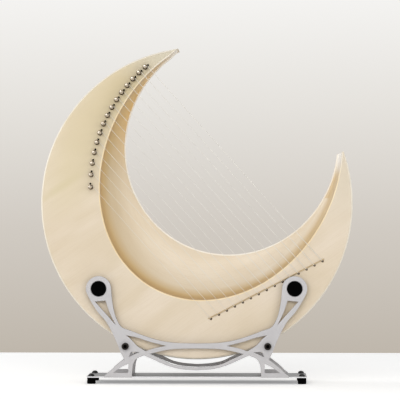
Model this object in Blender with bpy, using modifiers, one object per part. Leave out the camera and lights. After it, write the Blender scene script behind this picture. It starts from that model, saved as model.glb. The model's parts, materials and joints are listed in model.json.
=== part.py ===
"""A crescent lyre harp on its stand.

The harp is a hollow wooden crescent: two flat plates, an outer rim, a coved
inner wall and the blocks between them. Fifteen steel strings run from tuning
pins in the left horn to a rod saddle on the lower right of the front plate.
The stand is two flat metal frames on a base plate. The harp rests on its two
cross tubes, between four rubber pads.

Units are metres. X runs to the right, Y away from the player's side and Z up.
The origin is on the floor, in the middle of the whole object's footprint.
"""

import math

import bmesh
import bpy
import numpy as np
from mathutils import Matrix, Vector

GAP = 0.0003
WELD_DISTANCE = 0.00001
SAME_POINT = 0.0002
CUT_OVERRUN = 0.002
SMOOTH_BELOW = math.radians(35)
ROUNDED_ABOVE = math.radians(45)

# The pins reach further forward than the bolts reach back, so the middle of the
# whole object lies this far in front of the middle of the harp's body
FOOTPRINT_SHIFT = 0.004

# The crescent body
BODY_CENTRE = Vector((0.0, 0.2524))
BODY_RADIUS = 0.2185
BODY_DEPTH = 0.064
PLATE_THICKNESS = 0.005
RIM_THICKNESS = 0.006
WALL_THICKNESS = 0.004
BACK_LIP = 0.0020
TIP_WIDTH = 0.0030
OUTER_ROUNDING = 0.0042
INNER_ROUNDING = 0.0012
BODY_FRONT = -BODY_DEPTH / 2
BODY_BACK = BODY_DEPTH / 2

# The two inner edges are ellipses: centre from the body's centre, half axes, tilt
FRONT_EDGE = (Vector((0.0337, 0.0519)), 0.1946, 0.1612, math.radians(60.9))
BACK_EDGE = (Vector((0.0481, 0.0824)), 0.1556, 0.1503, math.radians(65.7))
EDGE_STEPS = 44
EDGE_SAMPLES = 400
RIM_STEPS = 60
COVE_STEPS = 5

# Angles round the body's centre, from the left tip down and round to the right tip
LEFT_TIP = math.radians(96.8)
LEFT_BLOCK_END = math.radians(115.2)
RIGHT_BLOCK_END = math.radians(362.5)
RIGHT_TIP = math.radians(379.5)
WALL_END_GAP = math.radians(0.12)
TIP_BLOCK_STEPS = 6

# Strings, tuning pins and saddle, in the plane of the front face
STRING_COUNT = 15
HOLE_FIRST = Vector((0.0202, 0.0907))
HOLE_LAST = Vector((0.1761, 0.1713))
STRING_SLOPE = math.radians(-47.8)
FIRST_STRING_OFFSET = -0.0948
STRING_SPACING = 0.01212
PIN_ARC_CENTRE = BODY_CENTRE + Vector((0.0728, 0.0235))
PIN_ARC_RADIUS = 0.2214
PIN_RADIUS = 0.0025
PIN_SIDES = 8
PIN_TOP = 0.024
PIN_BOTTOM = -0.022
PIN_ROUND_TOP = 0.0125
PIN_HEAD_CORNER = 0.99 * PIN_RADIUS
PIN_HEAD_CORNER_TOP = 0.84 * PIN_RADIUS
PIN_HEAD_OVERLAP = 0.0030
PIN_COLLAR_RADIUS = 0.0035
PIN_COLLAR_HEIGHT = 0.0015
PIN_BORE_DEPTH = 0.035
PINS_IN_BLOCK = 13
STRING_RADIUS_FIRST = 0.00020
STRING_RADIUS_LAST = 0.00033
STRING_RISE_AT_PIN = 0.0050
WINDING_TURNS = 2.0
WINDING_POINTS = 8
WINDING_SPACE = 0.00045
SADDLE_RADIUS = 0.0008
SADDLE_FROM_HOLES = 0.0020
SADDLE_OVERHANG = 0.0035
SADDLE_BENDS = (math.radians(92), math.radians(55), math.radians(15))
HOLE_SIDES = 6
STRING_HOLE_RADIUS = 0.0010
STRING_HOLE_ENTRY = 0.0008
BALL_RADIUS = 0.0019
BALL_LENGTH = 0.0034
BALL_SHOULDER = 0.0002
BALL_END_SHARE = 0.4
STUD_RADIUS = 0.0010
STUD_HEIGHT = 0.0065
STUD_DEPTH = 0.012
STUD_DISTANCE = 0.0049
STUD_ANGLE_FIRST = math.radians(92)
STUD_ANGLE_LAST = math.radians(33)
STUD_ANGLE_BEND = 0.6

# Blocks and brace inside the body
PIN_BLOCK_DEPTH = 0.024
PIN_BLOCK_INSIDE = 0.0060
PIN_BLOCK_OUTSIDE = 0.0120
PIN_BLOCK_END = math.radians(2.8)
PIN_BLOCK_STEPS = 14
BRIDGE_BLOCK_DEPTH = 0.014
BRIDGE_BLOCK_INSIDE = 0.0055
BRIDGE_BLOCK_OUTSIDE = 0.0130
BRIDGE_BLOCK_END = 0.0080
BRACE_WIDTH = 0.008
BRACE_DEPTH = 0.012
BRACE_ANGLE = math.radians(218)
BRACE_FROM = 0.1372
BRACE_TO = 0.2105
SOUND_HOLE_RADIUS = 0.022
SOUND_HOLE_SIDES = 28
SOUND_HOLES = (Vector((-0.066, -0.156)), Vector((0.066, -0.156)))

# The stand
FRAME_THICKNESS = 0.004
FRAME_FRONT = -0.041
RING_CENTRE = Vector((0.137, 0.133))
RING_RADIUS = 0.0176
RING_BORE = 0.0107
RING_SIDES = 24
RING_ARC_END = math.radians(200)
RING_ARC_STEPS = 14
BOLT_X = 0.0994
BOLT_HOLE_RADIUS = 0.0034
TUBE_RADIUS = 0.0042
TUBE_BORE = 0.0034
BOLT_RADIUS = 0.0030
BOLT_HEAD_RADIUS = 0.0050
BOLT_HEAD_HEIGHT = 0.0060
BOLT_HEAD_CHAMFER = 0.0004
BOLT_SIDES = 14
SOCKET_RADIUS = 0.0029
SOCKET_DEPTH = 0.0030
NUT_RADIUS = 0.0058
NUT_HEIGHT = 0.0050
BOLT_END = 0.0480
PAD_STEM_RADIUS = 0.0104
PAD_FLANGE_RADIUS = 0.0140
PAD_PROUD = 0.0006
PAD_CHAMFER = 0.0006
BASE_HALF_LENGTH = 0.154
BASE_HALF_DEPTH = 0.041
BASE_UNDERSIDE = 0.0088
BASE_THICKNESS = 0.0018
FOOT_RADIUS = 0.0060
FOOT_CHAMFER = 0.0008
FOOT_SIDES = 16
FOOT_X = 0.1473
FOOT_Y = 0.0345
FOOT_HOLE_RADIUS = 0.0023
FOOT_SCREW_RADIUS = 0.0020
FOOT_SCREW_SIDES = 10
FOOT_SCREW_DOME_STEPS = 3
FOOT_SCREW_HEAD_RADIUS = 0.0044
FOOT_SCREW_HEAD_HEIGHT = 0.0034
FOOT_SCREW_TIP = 0.0030

# Left half of a frame's outline, from the middle of the top edge to the ring
FRAME_TOP = (
    (0.0000, 0.0568), (-0.0265, 0.0574), (-0.0484, 0.0602), (-0.0704, 0.0665),
    (-0.0922, 0.0746), (-0.1051, 0.0800), (-0.1122, 0.0921), (-0.1157, 0.1042),
    (-0.1180, 0.1180), (-0.1194, 0.1330),
)
# From the ring down the arm's outer side to the short leg
FRAME_OUTSIDE = (
    (-0.1535, 0.1270), (-0.1493, 0.1184), (-0.1387, 0.1014), (-0.1265, 0.0871),
    (-0.1164, 0.0689), (-0.1093, 0.0528), (-0.1060, 0.0440), (-0.1010, 0.0340),
)
# Down the low arch to the foot rail, and round the rail
FRAME_FOOT = (
    (-0.1038, 0.0325), (-0.1173, 0.0218), (-0.1236, 0.0154), (-0.1290, 0.0112),
    (-0.1290, 0.0091), (-0.0903, 0.0091),
)
# Up the inner leg to where the cradle leaves it
FRAME_LEG = (
    (-0.0903, 0.0091), (-0.0895, 0.0204), (-0.0879, 0.0287), (-0.0835, 0.0352),
    (-0.0733, 0.0398),
)
# Along the underside of the cradle to the middle
FRAME_CRADLE = (
    (-0.0733, 0.0398), (-0.0642, 0.0358), (-0.0484, 0.0287), (-0.0359, 0.0240),
    (-0.0204, 0.0206), (0.0000, 0.0193),
)
# Windows of the left half: each is a loop of edges, and each edge is smooth
ARM_WINDOW = (
    ((-0.1419, 0.1150), (-0.1272, 0.1165)),
    ((-0.1272, 0.1165), (-0.1215, 0.1000), (-0.1132, 0.0829)),
    ((-0.1132, 0.0829), (-0.1270, 0.0985), (-0.1419, 0.1150)),
)
SMILE_WINDOW = (
    ((-0.0979, 0.0680), (-0.0823, 0.0647), (-0.0671, 0.0596), (-0.0430, 0.0534)),
    ((-0.0430, 0.0534), (-0.0590, 0.0500), (-0.0710, 0.0460)),
    ((-0.0710, 0.0460), (-0.0828, 0.0533), (-0.0922, 0.0633), (-0.0979, 0.0680)),
)
BOLT_WINDOW = (
    ((-0.0914, 0.0450), (-0.0800, 0.0445)),
    ((-0.0800, 0.0445), (-0.0945, 0.0378)),
    ((-0.0945, 0.0378), (-0.0914, 0.0450)),
)
FOOT_WINDOW = (
    ((-0.0950, 0.0285), (-0.0955, 0.0158)),
    ((-0.0955, 0.0158), (-0.1160, 0.0158)),
    ((-0.1160, 0.0158), (-0.1060, 0.0230), (-0.0950, 0.0285)),
)
# The long window between arch and cradle spans both halves
LENS_TOP = (
    (-0.0655, 0.0420), (-0.0484, 0.0462), (-0.0359, 0.0483), (-0.0236, 0.0493),
    (0.0000, 0.0497),
)
LENS_BOTTOM = (
    (0.0000, 0.0232), (-0.0204, 0.0249), (-0.0359, 0.0283), (-0.0484, 0.0343),
    (-0.0655, 0.0420),
)


def clear_scene():
    for obj in list(bpy.data.objects):
        bpy.data.objects.remove(obj, do_unlink=True)


def make_collection(name):
    made = bpy.data.collections.new(name)
    bpy.context.scene.collection.children.link(made)
    return made


def make_material(name, color, roughness, metallic=0.0):
    made = bpy.data.materials.new(name)
    made.use_nodes = True
    shader = made.node_tree.nodes["Principled BSDF"]
    shader.inputs["Base Color"].default_value = (*color, 1.0)
    shader.inputs["Roughness"].default_value = roughness
    shader.inputs["Metallic"].default_value = metallic
    made.diffuse_color = (*color, 1.0)
    return made


def flip_to_front():
    """Turns a shape drawn in local XY, with local Z as its height, to face the front."""
    return Matrix.Rotation(math.pi / 2, 4, "X")


def add_object(name, data, collection, material=None):
    made = bpy.data.objects.new(name, data)
    collection.objects.link(made)
    if material:
        data.materials.append(material)
    return made


def as_cutter(obj):
    obj.hide_render = True
    obj.display_type = "WIRE"
    return obj


def weld(mesh):
    work = bmesh.new()
    work.from_mesh(mesh)
    bmesh.ops.remove_doubles(work, verts=work.verts, dist=WELD_DISTANCE)
    bmesh.ops.recalc_face_normals(work, faces=work.faces)
    work.to_mesh(mesh)
    work.free()


def curve_to_mesh(obj):
    """Replaces a curve object by a closed mesh object of the same name and place."""
    graph = bpy.context.evaluated_depsgraph_get()
    mesh = bpy.data.meshes.new_from_object(obj.evaluated_get(graph))
    weld(mesh)
    name = obj.name
    collection = obj.users_collection[0]
    place = obj.matrix_world.copy()
    bpy.data.objects.remove(obj, do_unlink=True)
    made = bpy.data.objects.new(name, mesh)
    collection.objects.link(made)
    made.matrix_world = place
    shade_round(made)
    return made


def flat_plate(name, loops, front, back, collection, material=None):
    """A flat piece with straight sides: outlines and holes in XZ, between two depths."""
    curve = bpy.data.curves.new(name, "CURVE")
    curve.dimensions = "2D"
    curve.fill_mode = "BOTH"
    curve.extrude = abs(back - front) / 2
    for loop in loops:
        spline = curve.splines.new("POLY")
        spline.points.add(len(loop) - 1)
        for point, place in zip(spline.points, loop):
            point.co = (place[0], place[1], 0.0, 1.0)
        spline.use_cyclic_u = True
    made = add_object(name, curve, collection, material)
    made.matrix_world = Matrix.Translation((0, (front + back) / 2, 0)) @ flip_to_front()
    bpy.context.view_layer.update()
    return curve_to_mesh(made)


def tube(name, points, radius, collection, material, thickness=None, resolution=1):
    """A round wire along world points; thickness scales it point by point."""
    curve = bpy.data.curves.new(name, "CURVE")
    curve.dimensions = "3D"
    curve.bevel_depth = radius
    curve.bevel_resolution = resolution
    curve.use_fill_caps = True
    spline = curve.splines.new("POLY")
    spline.points.add(len(points) - 1)
    for index, place in enumerate(points):
        spline.points[index].co = (*place, 1.0)
        if thickness:
            spline.points[index].radius = thickness[index]
    made = add_object(name, curve, collection, material)
    bpy.context.view_layer.update()
    curve_to_mesh(made)


def turned(name, profile, sides, collection, material=None):
    """A turned piece about local Z; the profile of (radius, height) runs top to bottom."""
    mesh = bpy.data.meshes.new(name)
    edges = [(i, i + 1) for i in range(len(profile) - 1)]
    if profile[0][0] > 0:
        edges.append((len(profile) - 1, 0))
    mesh.from_pydata([(r, 0.0, h) for r, h in profile], edges, [])
    made = add_object(name, mesh, collection, material)
    screw = made.modifiers.new("turn", "SCREW")
    screw.steps = sides
    screw.render_steps = sides
    screw.use_merge_vertices = True
    screw.merge_threshold = WELD_DISTANCE
    applied(made)
    shade_round(made)
    return made


def prism(name, radius, low, high, sides, place, collection):
    """A cylinder or prism whose axis points to the front, between two heights."""
    work = bmesh.new()
    bmesh.ops.create_cone(
        work, cap_ends=True, segments=sides, radius1=radius, radius2=radius, depth=high - low,
        matrix=Matrix.Translation((0, 0, (low + high) / 2)),
    )
    mesh = bpy.data.meshes.new(name)
    work.to_mesh(mesh)
    work.free()
    made = add_object(name, mesh, collection)
    made.matrix_world = Matrix.Translation(place) @ flip_to_front()
    return made


def box(name, size, place, collection, material=None):
    """A box of this size about this place."""
    work = bmesh.new()
    bmesh.ops.create_cube(work, size=1.0)
    bmesh.ops.scale(work, vec=size, verts=work.verts)
    bmesh.ops.translate(work, vec=place, verts=work.verts)
    mesh = bpy.data.meshes.new(name)
    work.to_mesh(mesh)
    work.free()
    return add_object(name, mesh, collection, material)


def joined(name, objects, collection):
    """One mesh object from several that don't touch each other, in world places."""
    work = bmesh.new()
    for obj in objects:
        part = obj.data.copy()
        part.transform(obj.matrix_world)
        work.from_mesh(part)
        bpy.data.meshes.remove(part)
        bpy.data.objects.remove(obj, do_unlink=True)
    mesh = bpy.data.meshes.new(name)
    work.to_mesh(mesh)
    work.free()
    return add_object(name, mesh, collection)


def boolean(obj, operation, other):
    cut = obj.modifiers.new(operation.lower(), "BOOLEAN")
    cut.operation = operation
    cut.solver = "EXACT"
    cut.object = other


def applied(obj):
    """Applies an object's modifiers to a mesh of its own."""
    bpy.context.view_layer.update()
    graph = bpy.context.evaluated_depsgraph_get()
    mesh = bpy.data.meshes.new_from_object(obj.evaluated_get(graph))
    obj.modifiers.clear()
    obj.data = mesh


def shade_round(obj):
    obj.data.shade_smooth()
    obj.data.set_sharp_from_angle(angle=SMOOTH_BELOW)


def smooth_line(points, per_stretch=2):
    """Points of a smooth curve through the given ones, whose ends stay sharp corners."""
    knots = [Vector(p) for p in points]
    if len(knots) < 3:
        return knots
    ends = [2 * knots[0] - knots[1], *knots, 2 * knots[-1] - knots[-2]]
    found = []
    for i in range(1, len(ends) - 2):
        before, start, end, after = ends[i - 1:i + 3]
        for step in range(per_stretch):
            t = step / per_stretch
            found.append(0.5 * (
                2 * start + (end - before) * t
                + (2 * before - 5 * start + 4 * end - after) * t * t
                + (3 * start - before - 3 * end + after) * t ** 3
            ))
    return [*found, knots[-1]]


def closed_loop(stretches):
    """Joins stretches end to end and drops the points that they share."""
    loop = []
    for stretch in stretches:
        for point in stretch:
            if not loop or (Vector(point) - loop[-1]).length > SAME_POINT:
                loop.append(Vector(point))
    while (loop[0] - loop[-1]).length < SAME_POINT:
        loop.pop()
    return loop


def mirrored(points):
    return [Vector((-p[0], p[1])) for p in reversed(points)]


def towards(angle):
    return Vector((math.cos(angle), math.sin(angle)))


def arc(centre, radius, start, end, steps):
    """Evenly spaced points from one angle to another."""
    return [centre + radius * towards(angle) for angle in np.linspace(start, end, steps + 1)]


def circle(centre, radius, sides):
    return arc(centre, radius, 0, 2 * math.pi, sides)[:-1]


def edge_reach(edge, angle):
    """Distance from the body's centre to an inner edge, kept short of the rim at the tips."""
    centre, along, across, tilt = edge
    turn = Matrix.Rotation(-tilt, 2)
    start = turn @ -centre
    step = turn @ towards(angle)
    start = Vector((start.x / along, start.y / across))
    step = Vector((step.x / along, step.y / across))
    half = start.dot(step) / step.length_squared
    reach = -half + math.sqrt(half ** 2 - (start.length_squared - 1) / step.length_squared)
    return min(reach, BODY_RADIUS - TIP_WIDTH)


def edge_point(edge, angle):
    return BODY_CENTRE + edge_reach(edge, angle) * towards(angle)


def even_angles(start, end, steps):
    """Body angles whose points on the front edge are evenly spaced."""
    fine = np.linspace(start, end, EDGE_SAMPLES)
    places = np.array([edge_point(FRONT_EDGE, angle) for angle in fine])
    pieces = np.linalg.norm(np.diff(places, axis=0), axis=1)
    length = np.append(0, np.cumsum(pieces))
    return np.interp(np.linspace(0, length[-1], steps + 1), length, fine)


def crescent(edge):
    """A plate's outline: an inner edge from tip to tip, and the outer circle back again."""
    inner = [edge_point(edge, angle) for angle in even_angles(LEFT_TIP, RIGHT_TIP, EDGE_STEPS)]
    return [*inner, *arc(BODY_CENTRE, BODY_RADIUS, RIGHT_TIP, LEFT_TIP, RIM_STEPS)]


def on_height(height):
    """World Y of a height above the front face."""
    return BODY_FRONT - height


def string_ends():
    """For each string: its number, pin centre and hole, in the plane of the front face."""
    across = Vector((-math.sin(STRING_SLOPE), math.cos(STRING_SLOPE)))
    along = towards(STRING_SLOPE)
    for index in range(STRING_COUNT):
        offset = FIRST_STRING_OFFSET + index * STRING_SPACING
        foot = BODY_CENTRE + across * offset
        to_arc = PIN_ARC_CENTRE - foot
        middle = to_arc.dot(along)
        half = math.sqrt(PIN_ARC_RADIUS ** 2 - (to_arc.length_squared - middle ** 2))
        pin = foot + along * (middle - half)
        hole = HOLE_FIRST.lerp(HOLE_LAST, index / (STRING_COUNT - 1))
        yield index, pin, hole


def stud_place(index, pin):
    share = (index / (STRING_COUNT - 1)) ** STUD_ANGLE_BEND
    angle = STUD_ANGLE_FIRST + (STUD_ANGLE_LAST - STUD_ANGLE_FIRST) * share
    return pin + STUD_DISTANCE * towards(angle)


def round_plate_edges(plate, edge, outside):
    """Rounds the rim of a plate's outside face, less so at the tips, and eases its inner edge."""
    work = bmesh.new()
    work.from_mesh(plate.data)
    weight = work.edges.layers.float.new("bevel_weight_edge")
    for side in work.edges:
        ends = [plate.matrix_world @ v.co for v in side.verts]
        on_face = all(abs(p.y - outside) < GAP for p in ends)
        if not on_face or side.calc_face_angle() < ROUNDED_ABOVE:
            continue
        flat = [Vector((p.x, p.z)) - BODY_CENTRE for p in ends]
        middle = (flat[0] + flat[1]) / 2
        width = BODY_RADIUS - edge_reach(edge, math.atan2(middle.y, middle.x))
        at_rim = [p.length > BODY_RADIUS - GAP for p in flat]
        if all(at_rim):
            side[weight] = min(1.0, (width - 2 * INNER_ROUNDING) / OUTER_ROUNDING)
        elif not any(at_rim):
            side[weight] = INNER_ROUNDING / OUTER_ROUNDING
    work.to_mesh(plate.data)
    work.free()
    ease = plate.modifiers.new("edges", "BEVEL")
    ease.limit_method = "WEIGHT"
    ease.width = OUTER_ROUNDING
    ease.segments = 2
    ease.use_clamp_overlap = False


def make_front_plate(parts, cutters, wood):
    inside = BODY_FRONT + PLATE_THICKNESS
    outline = crescent(FRONT_EDGE)
    plate = flat_plate("front_plate", [outline], BODY_FRONT, inside, parts, wood)
    round_plate_edges(plate, FRONT_EDGE, BODY_FRONT)
    drills = []
    for index, pin, hole in string_ends():
        stud = stud_place(index, pin)
        sizes = (
            (pin, PIN_RADIUS + 2 * GAP, PIN_SIDES),
            (hole, STRING_HOLE_RADIUS, HOLE_SIDES),
            (stud, STUD_RADIUS + 2 * GAP, HOLE_SIDES),
        )
        depth = PLATE_THICKNESS + CUT_OVERRUN
        for place, radius, sides in sizes:
            at = (place.x, BODY_FRONT, place.y)
            drills.append(prism("drill", radius, -depth, CUT_OVERRUN, sides, at, cutters))
    boolean(plate, "DIFFERENCE", as_cutter(joined("front_plate_drills", drills, cutters)))


def make_back_plate(parts, cutters, wood):
    inside = BODY_BACK - PLATE_THICKNESS
    outline = crescent(BACK_EDGE)
    plate = flat_plate("back_plate", [outline], inside, BODY_BACK, parts, wood)
    round_plate_edges(plate, BACK_EDGE, BODY_BACK)
    drills = []
    low, high = -CUT_OVERRUN, PLATE_THICKNESS + CUT_OVERRUN
    for place in SOUND_HOLES:
        at = (BODY_CENTRE.x + place.x, BODY_BACK, BODY_CENTRE.y + place.y)
        drills.append(prism("drill", SOUND_HOLE_RADIUS, low, high, SOUND_HOLE_SIDES, at, cutters))
    boolean(plate, "DIFFERENCE", as_cutter(joined("sound_hole_drills", drills, cutters)))


def inside_depths():
    """The depths just behind the front plate and just before the back plate."""
    return BODY_FRONT + PLATE_THICKNESS + GAP, BODY_BACK - PLATE_THICKNESS - GAP


def cove_section(angle):
    """The visible inner surface at one place: steep behind the front edge, flat at the back.

    It ends a little outside the back plate's edge, which shows as a lip round it.
    """
    front, back = inside_depths()
    back -= WALL_THICKNESS
    start = edge_point(FRONT_EDGE, angle)
    end = edge_point(BACK_EDGE, angle) + BACK_LIP * towards(angle)
    section = []
    for slope in np.linspace(0, math.pi / 2, COVE_STEPS + 1):
        flat = end.lerp(start, math.cos(slope))
        depth = front + (back - front) * math.sin(slope)
        section.append(Vector((flat.x, depth, flat.y)))
    return section


def make_inner_wall(parts, wood):
    """The coved wall between the tip blocks: an open surface made solid outwards."""
    work = bmesh.new()
    ends = (LEFT_BLOCK_END + WALL_END_GAP, RIGHT_BLOCK_END - WALL_END_GAP)
    rows = [
        [work.verts.new(p) for p in cove_section(angle)]
        for angle in even_angles(*ends, EDGE_STEPS)
    ]
    for row, after in zip(rows, rows[1:]):
        for i in range(COVE_STEPS):
            work.faces.new((row[i], row[i + 1], after[i + 1], after[i]))
    mesh = bpy.data.meshes.new("inner_wall")
    work.to_mesh(mesh)
    work.free()
    made = add_object("inner_wall", mesh, parts, wood)
    thick = made.modifiers.new("thickness", "SOLIDIFY")
    thick.thickness = WALL_THICKNESS
    thick.offset = 1.0
    applied(made)
    shade_round(made)


def make_tip_block(name, start, end, parts, wood):
    """A solid horn tip: cove on the inner side, the outer circle on the other."""
    front, back = inside_depths()
    work = bmesh.new()
    rings = []
    for angle in np.linspace(start, end, TIP_BLOCK_STEPS + 1):
        section = cove_section(angle)
        low = section[-1]
        out = BODY_CENTRE + BODY_RADIUS * towards(angle)
        section += [Vector((low.x, back, low.z)), Vector((out.x, back, out.y))]
        section += [Vector((out.x, front, out.y))]
        rings.append([work.verts.new(p) for p in section])
    count = len(rings[0])
    for ring, after in zip(rings, rings[1:]):
        for i in range(count):
            j = (i + 1) % count
            work.faces.new((ring[i], ring[j], after[j], after[i]))
    work.faces.new(list(reversed(rings[0])))
    work.faces.new(rings[-1])
    bmesh.ops.recalc_face_normals(work, faces=work.faces)
    mesh = bpy.data.meshes.new(name)
    work.to_mesh(mesh)
    work.free()
    made = add_object(name, mesh, parts, wood)
    shade_round(made)
    return made


def make_rim(parts, wood):
    """The outer rim, a bent strip between the two tip blocks."""
    front, back = inside_depths()
    start = LEFT_BLOCK_END + GAP / BODY_RADIUS
    end = RIGHT_BLOCK_END - GAP / BODY_RADIUS
    outer = arc(BODY_CENTRE, BODY_RADIUS, start, end, RIM_STEPS)
    inner = arc(BODY_CENTRE, BODY_RADIUS - RIM_THICKNESS, end, start, RIM_STEPS)
    flat_plate("outer_rim", [[*outer, *inner]], front, back, parts, wood)


def reach_to_pin_arc(angle, beyond):
    """Distance from the body's centre to a circle this far outside the arc of the pins."""
    offset = PIN_ARC_CENTRE - BODY_CENTRE
    half = offset.dot(towards(angle))
    radius = PIN_ARC_RADIUS + beyond
    return half + math.sqrt(half ** 2 - offset.length_squared + radius ** 2)


def drill_for_pins(block, numbers, cutters):
    """Bores a block for some of the tuning pins and drives their guide studs into it."""
    drills = []
    studs = []
    for index, pin, _ in string_ends():
        if index not in numbers:
            continue
        at = (pin.x, BODY_FRONT, pin.y)
        bore = PIN_RADIUS + 2 * GAP
        drills.append(prism("drill", bore, -PIN_BORE_DEPTH, 0, PIN_SIDES, at, cutters))
        stud = stud_place(index, pin)
        at = (stud.x, BODY_FRONT, stud.y)
        studs.append(prism("stud", STUD_RADIUS, -STUD_DEPTH, STUD_HEIGHT, HOLE_SIDES, at, cutters))
    boolean(block, "DIFFERENCE", as_cutter(joined(f"{block.name}_drills", drills, cutters)))
    boolean(block, "UNION", as_cutter(joined(f"{block.name}_studs", studs, cutters)))


def make_pin_block(parts, cutters, wood):
    """The hardwood block for all tuning pins below the left tip block."""
    front = inside_depths()[0]
    first_pin = next(string_ends())[1] - BODY_CENTRE
    low = math.atan2(first_pin.y, first_pin.x) + PIN_BLOCK_END
    high = LEFT_BLOCK_END + 2 * GAP / BODY_RADIUS
    inner = []
    outer = []
    for angle in np.linspace(low, high, PIN_BLOCK_STEPS + 1):
        inner.append(BODY_CENTRE + reach_to_pin_arc(angle, -PIN_BLOCK_INSIDE) * towards(angle))
        reach = min(
            reach_to_pin_arc(angle, PIN_BLOCK_OUTSIDE), BODY_RADIUS - RIM_THICKNESS - 2 * GAP
        )
        outer.append(BODY_CENTRE + reach * towards(angle))
    outline = [*inner, *reversed(outer)]
    back = front + PIN_BLOCK_DEPTH
    block = flat_plate("pin_block", [outline], front, back, parts, wood)
    drill_for_pins(block, range(PINS_IN_BLOCK), cutters)


def make_bridge_block(parts, cutters, wood):
    """The bar under the front plate that the strings' ball ends pull against."""
    front = inside_depths()[0]
    along = (HOLE_LAST - HOLE_FIRST).normalized()
    side = Vector((-along.y, along.x))
    start = HOLE_FIRST - along * BRIDGE_BLOCK_END
    end = HOLE_LAST + along * BRIDGE_BLOCK_END
    inside = side * BRIDGE_BLOCK_INSIDE
    outside = -side * BRIDGE_BLOCK_OUTSIDE
    outline = [start + outside, end + outside, end + inside, start + inside]
    back = front + BRIDGE_BLOCK_DEPTH
    block = flat_plate("bridge_block", [outline], front, back, parts, wood)
    drills = []
    depth = PLATE_THICKNESS + GAP + BRIDGE_BLOCK_DEPTH + CUT_OVERRUN
    for _, _, hole in string_ends():
        at = (hole.x, BODY_FRONT, hole.y)
        drills.append(prism("drill", STRING_HOLE_RADIUS, -depth, 0, HOLE_SIDES, at, cutters))
    boolean(block, "DIFFERENCE", as_cutter(joined("bridge_drills", drills, cutters)))


def make_brace(parts, wood):
    """A brace under the front plate, across the widest part of the crescent."""
    front = inside_depths()[0]
    away = towards(BRACE_ANGLE)
    side = Vector((-away.y, away.x)) * BRACE_WIDTH / 2
    start = BODY_CENTRE + away * BRACE_FROM
    end = BODY_CENTRE + away * BRACE_TO
    outline = [start - side, end - side, end + side, start + side]
    flat_plate("front_brace", [outline], front, front + BRACE_DEPTH, parts, wood)


def make_saddle(parts, metal):
    """The rod that the strings bend over just before their holes."""
    along = (HOLE_LAST - HOLE_FIRST).normalized()
    side = Vector((-along.y, along.x)) * SADDLE_FROM_HOLES
    depth = on_height(GAP + SADDLE_RADIUS)
    start = HOLE_FIRST + side - along * SADDLE_OVERHANG
    end = HOLE_LAST + side + along * SADDLE_OVERHANG
    points = [(start.x, depth, start.y), (end.x, depth, end.y)]
    tube("saddle_rod", points, SADDLE_RADIUS, parts, metal, resolution=2)


def make_pins(parts, cutters, chrome):
    """Tuning pins: a round shank with a collar at the face and a square tapered head."""
    profile = (
        (0, PIN_ROUND_TOP), (PIN_RADIUS, PIN_ROUND_TOP), (PIN_RADIUS, GAP + PIN_COLLAR_HEIGHT),
        (PIN_COLLAR_RADIUS, GAP + PIN_COLLAR_HEIGHT), (PIN_COLLAR_RADIUS, GAP),
        (PIN_RADIUS, GAP), (PIN_RADIUS, PIN_BOTTOM), (0, PIN_BOTTOM),
    )
    pattern = turned("tuning_pin_01", profile, PIN_SIDES, parts, chrome)
    head = bmesh.new()
    low = PIN_ROUND_TOP - PIN_HEAD_OVERLAP
    bmesh.ops.create_cone(
        head, cap_ends=True, segments=4, radius1=PIN_HEAD_CORNER, radius2=PIN_HEAD_CORNER_TOP,
        depth=PIN_TOP - low, matrix=Matrix.Translation((0, 0, (PIN_TOP + low) / 2)),
    )
    mesh = bpy.data.meshes.new("square_head")
    head.to_mesh(mesh)
    head.free()
    square = as_cutter(add_object("square_head", mesh, cutters))
    boolean(pattern, "UNION", square)
    applied(pattern)
    shade_round(pattern)
    for index, pin, _ in string_ends():
        if index == 0:
            made = pattern
        else:
            made = bpy.data.objects.new(f"tuning_pin_{index + 1:02d}", pattern.data)
            parts.objects.link(made)
        made.matrix_world = Matrix.Translation((pin.x, BODY_FRONT, pin.y)) @ flip_to_front()


def string_route(pin, hole, radius):
    """Centre line of a string and its thickness at each point.

    It starts as a winding round the pin, leaves it at a tangent, bends over the
    saddle into its hole and ends in a ball behind the bridge block.
    """
    reach = (PIN_RADIUS + GAP + radius) / math.cos(math.pi / WINDING_POINTS)
    rise = 2 * radius + WINDING_SPACE
    to_hole = hole - pin
    leave = math.atan2(to_hole.y, to_hole.x) + math.acos(reach / to_hole.length)
    steps = round(WINDING_TURNS * WINDING_POINTS)
    route = []
    for step in range(steps, -1, -1):
        turn = step / WINDING_POINTS
        around = leave + 2 * math.pi * turn
        flat = pin + reach * towards(around)
        height = STRING_RISE_AT_PIN + rise * turn
        route.append((flat, height))
    tangent = route[-1][0]
    along = (hole - tangent).normalized()
    rod = (HOLE_LAST - HOLE_FIRST).normalized()
    to_rod = SADDLE_FROM_HOLES / abs(rod.x * along.y - rod.y * along.x)
    crest = hole - along * to_rod
    bend = SADDLE_RADIUS + GAP + radius
    centre = GAP + SADDLE_RADIUS
    for angle in SADDLE_BENDS:
        route.append((crest + along * bend * math.cos(angle), centre + bend * math.sin(angle)))
    top = -PLATE_THICKNESS - GAP - BRIDGE_BLOCK_DEPTH - 2 * GAP
    route += [(hole, -STRING_HOLE_ENTRY), (hole, top)]
    thickness = [1.0] * len(route)
    ball = BALL_RADIUS / radius
    sizes = (
        (BALL_SHOULDER, ball), (BALL_LENGTH, ball), (BALL_LENGTH + BALL_SHOULDER, BALL_END_SHARE * ball),
    )
    for below, size in sizes:
        route.append((hole, top - below))
        thickness.append(size)
    points = [Vector((flat.x, on_height(height), flat.y)) for flat, height in route]
    return points, thickness


def least_gap(points, radius):
    """The least clear space between parts of one wire that are half a turn or more apart."""
    places = np.array(points)
    away = np.linalg.norm(places[:, None] - places[None, :], axis=2)
    order = np.abs(np.subtract.outer(np.arange(len(places)), np.arange(len(places))))
    return away[order >= WINDING_POINTS // 2].min() - 2 * radius


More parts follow.
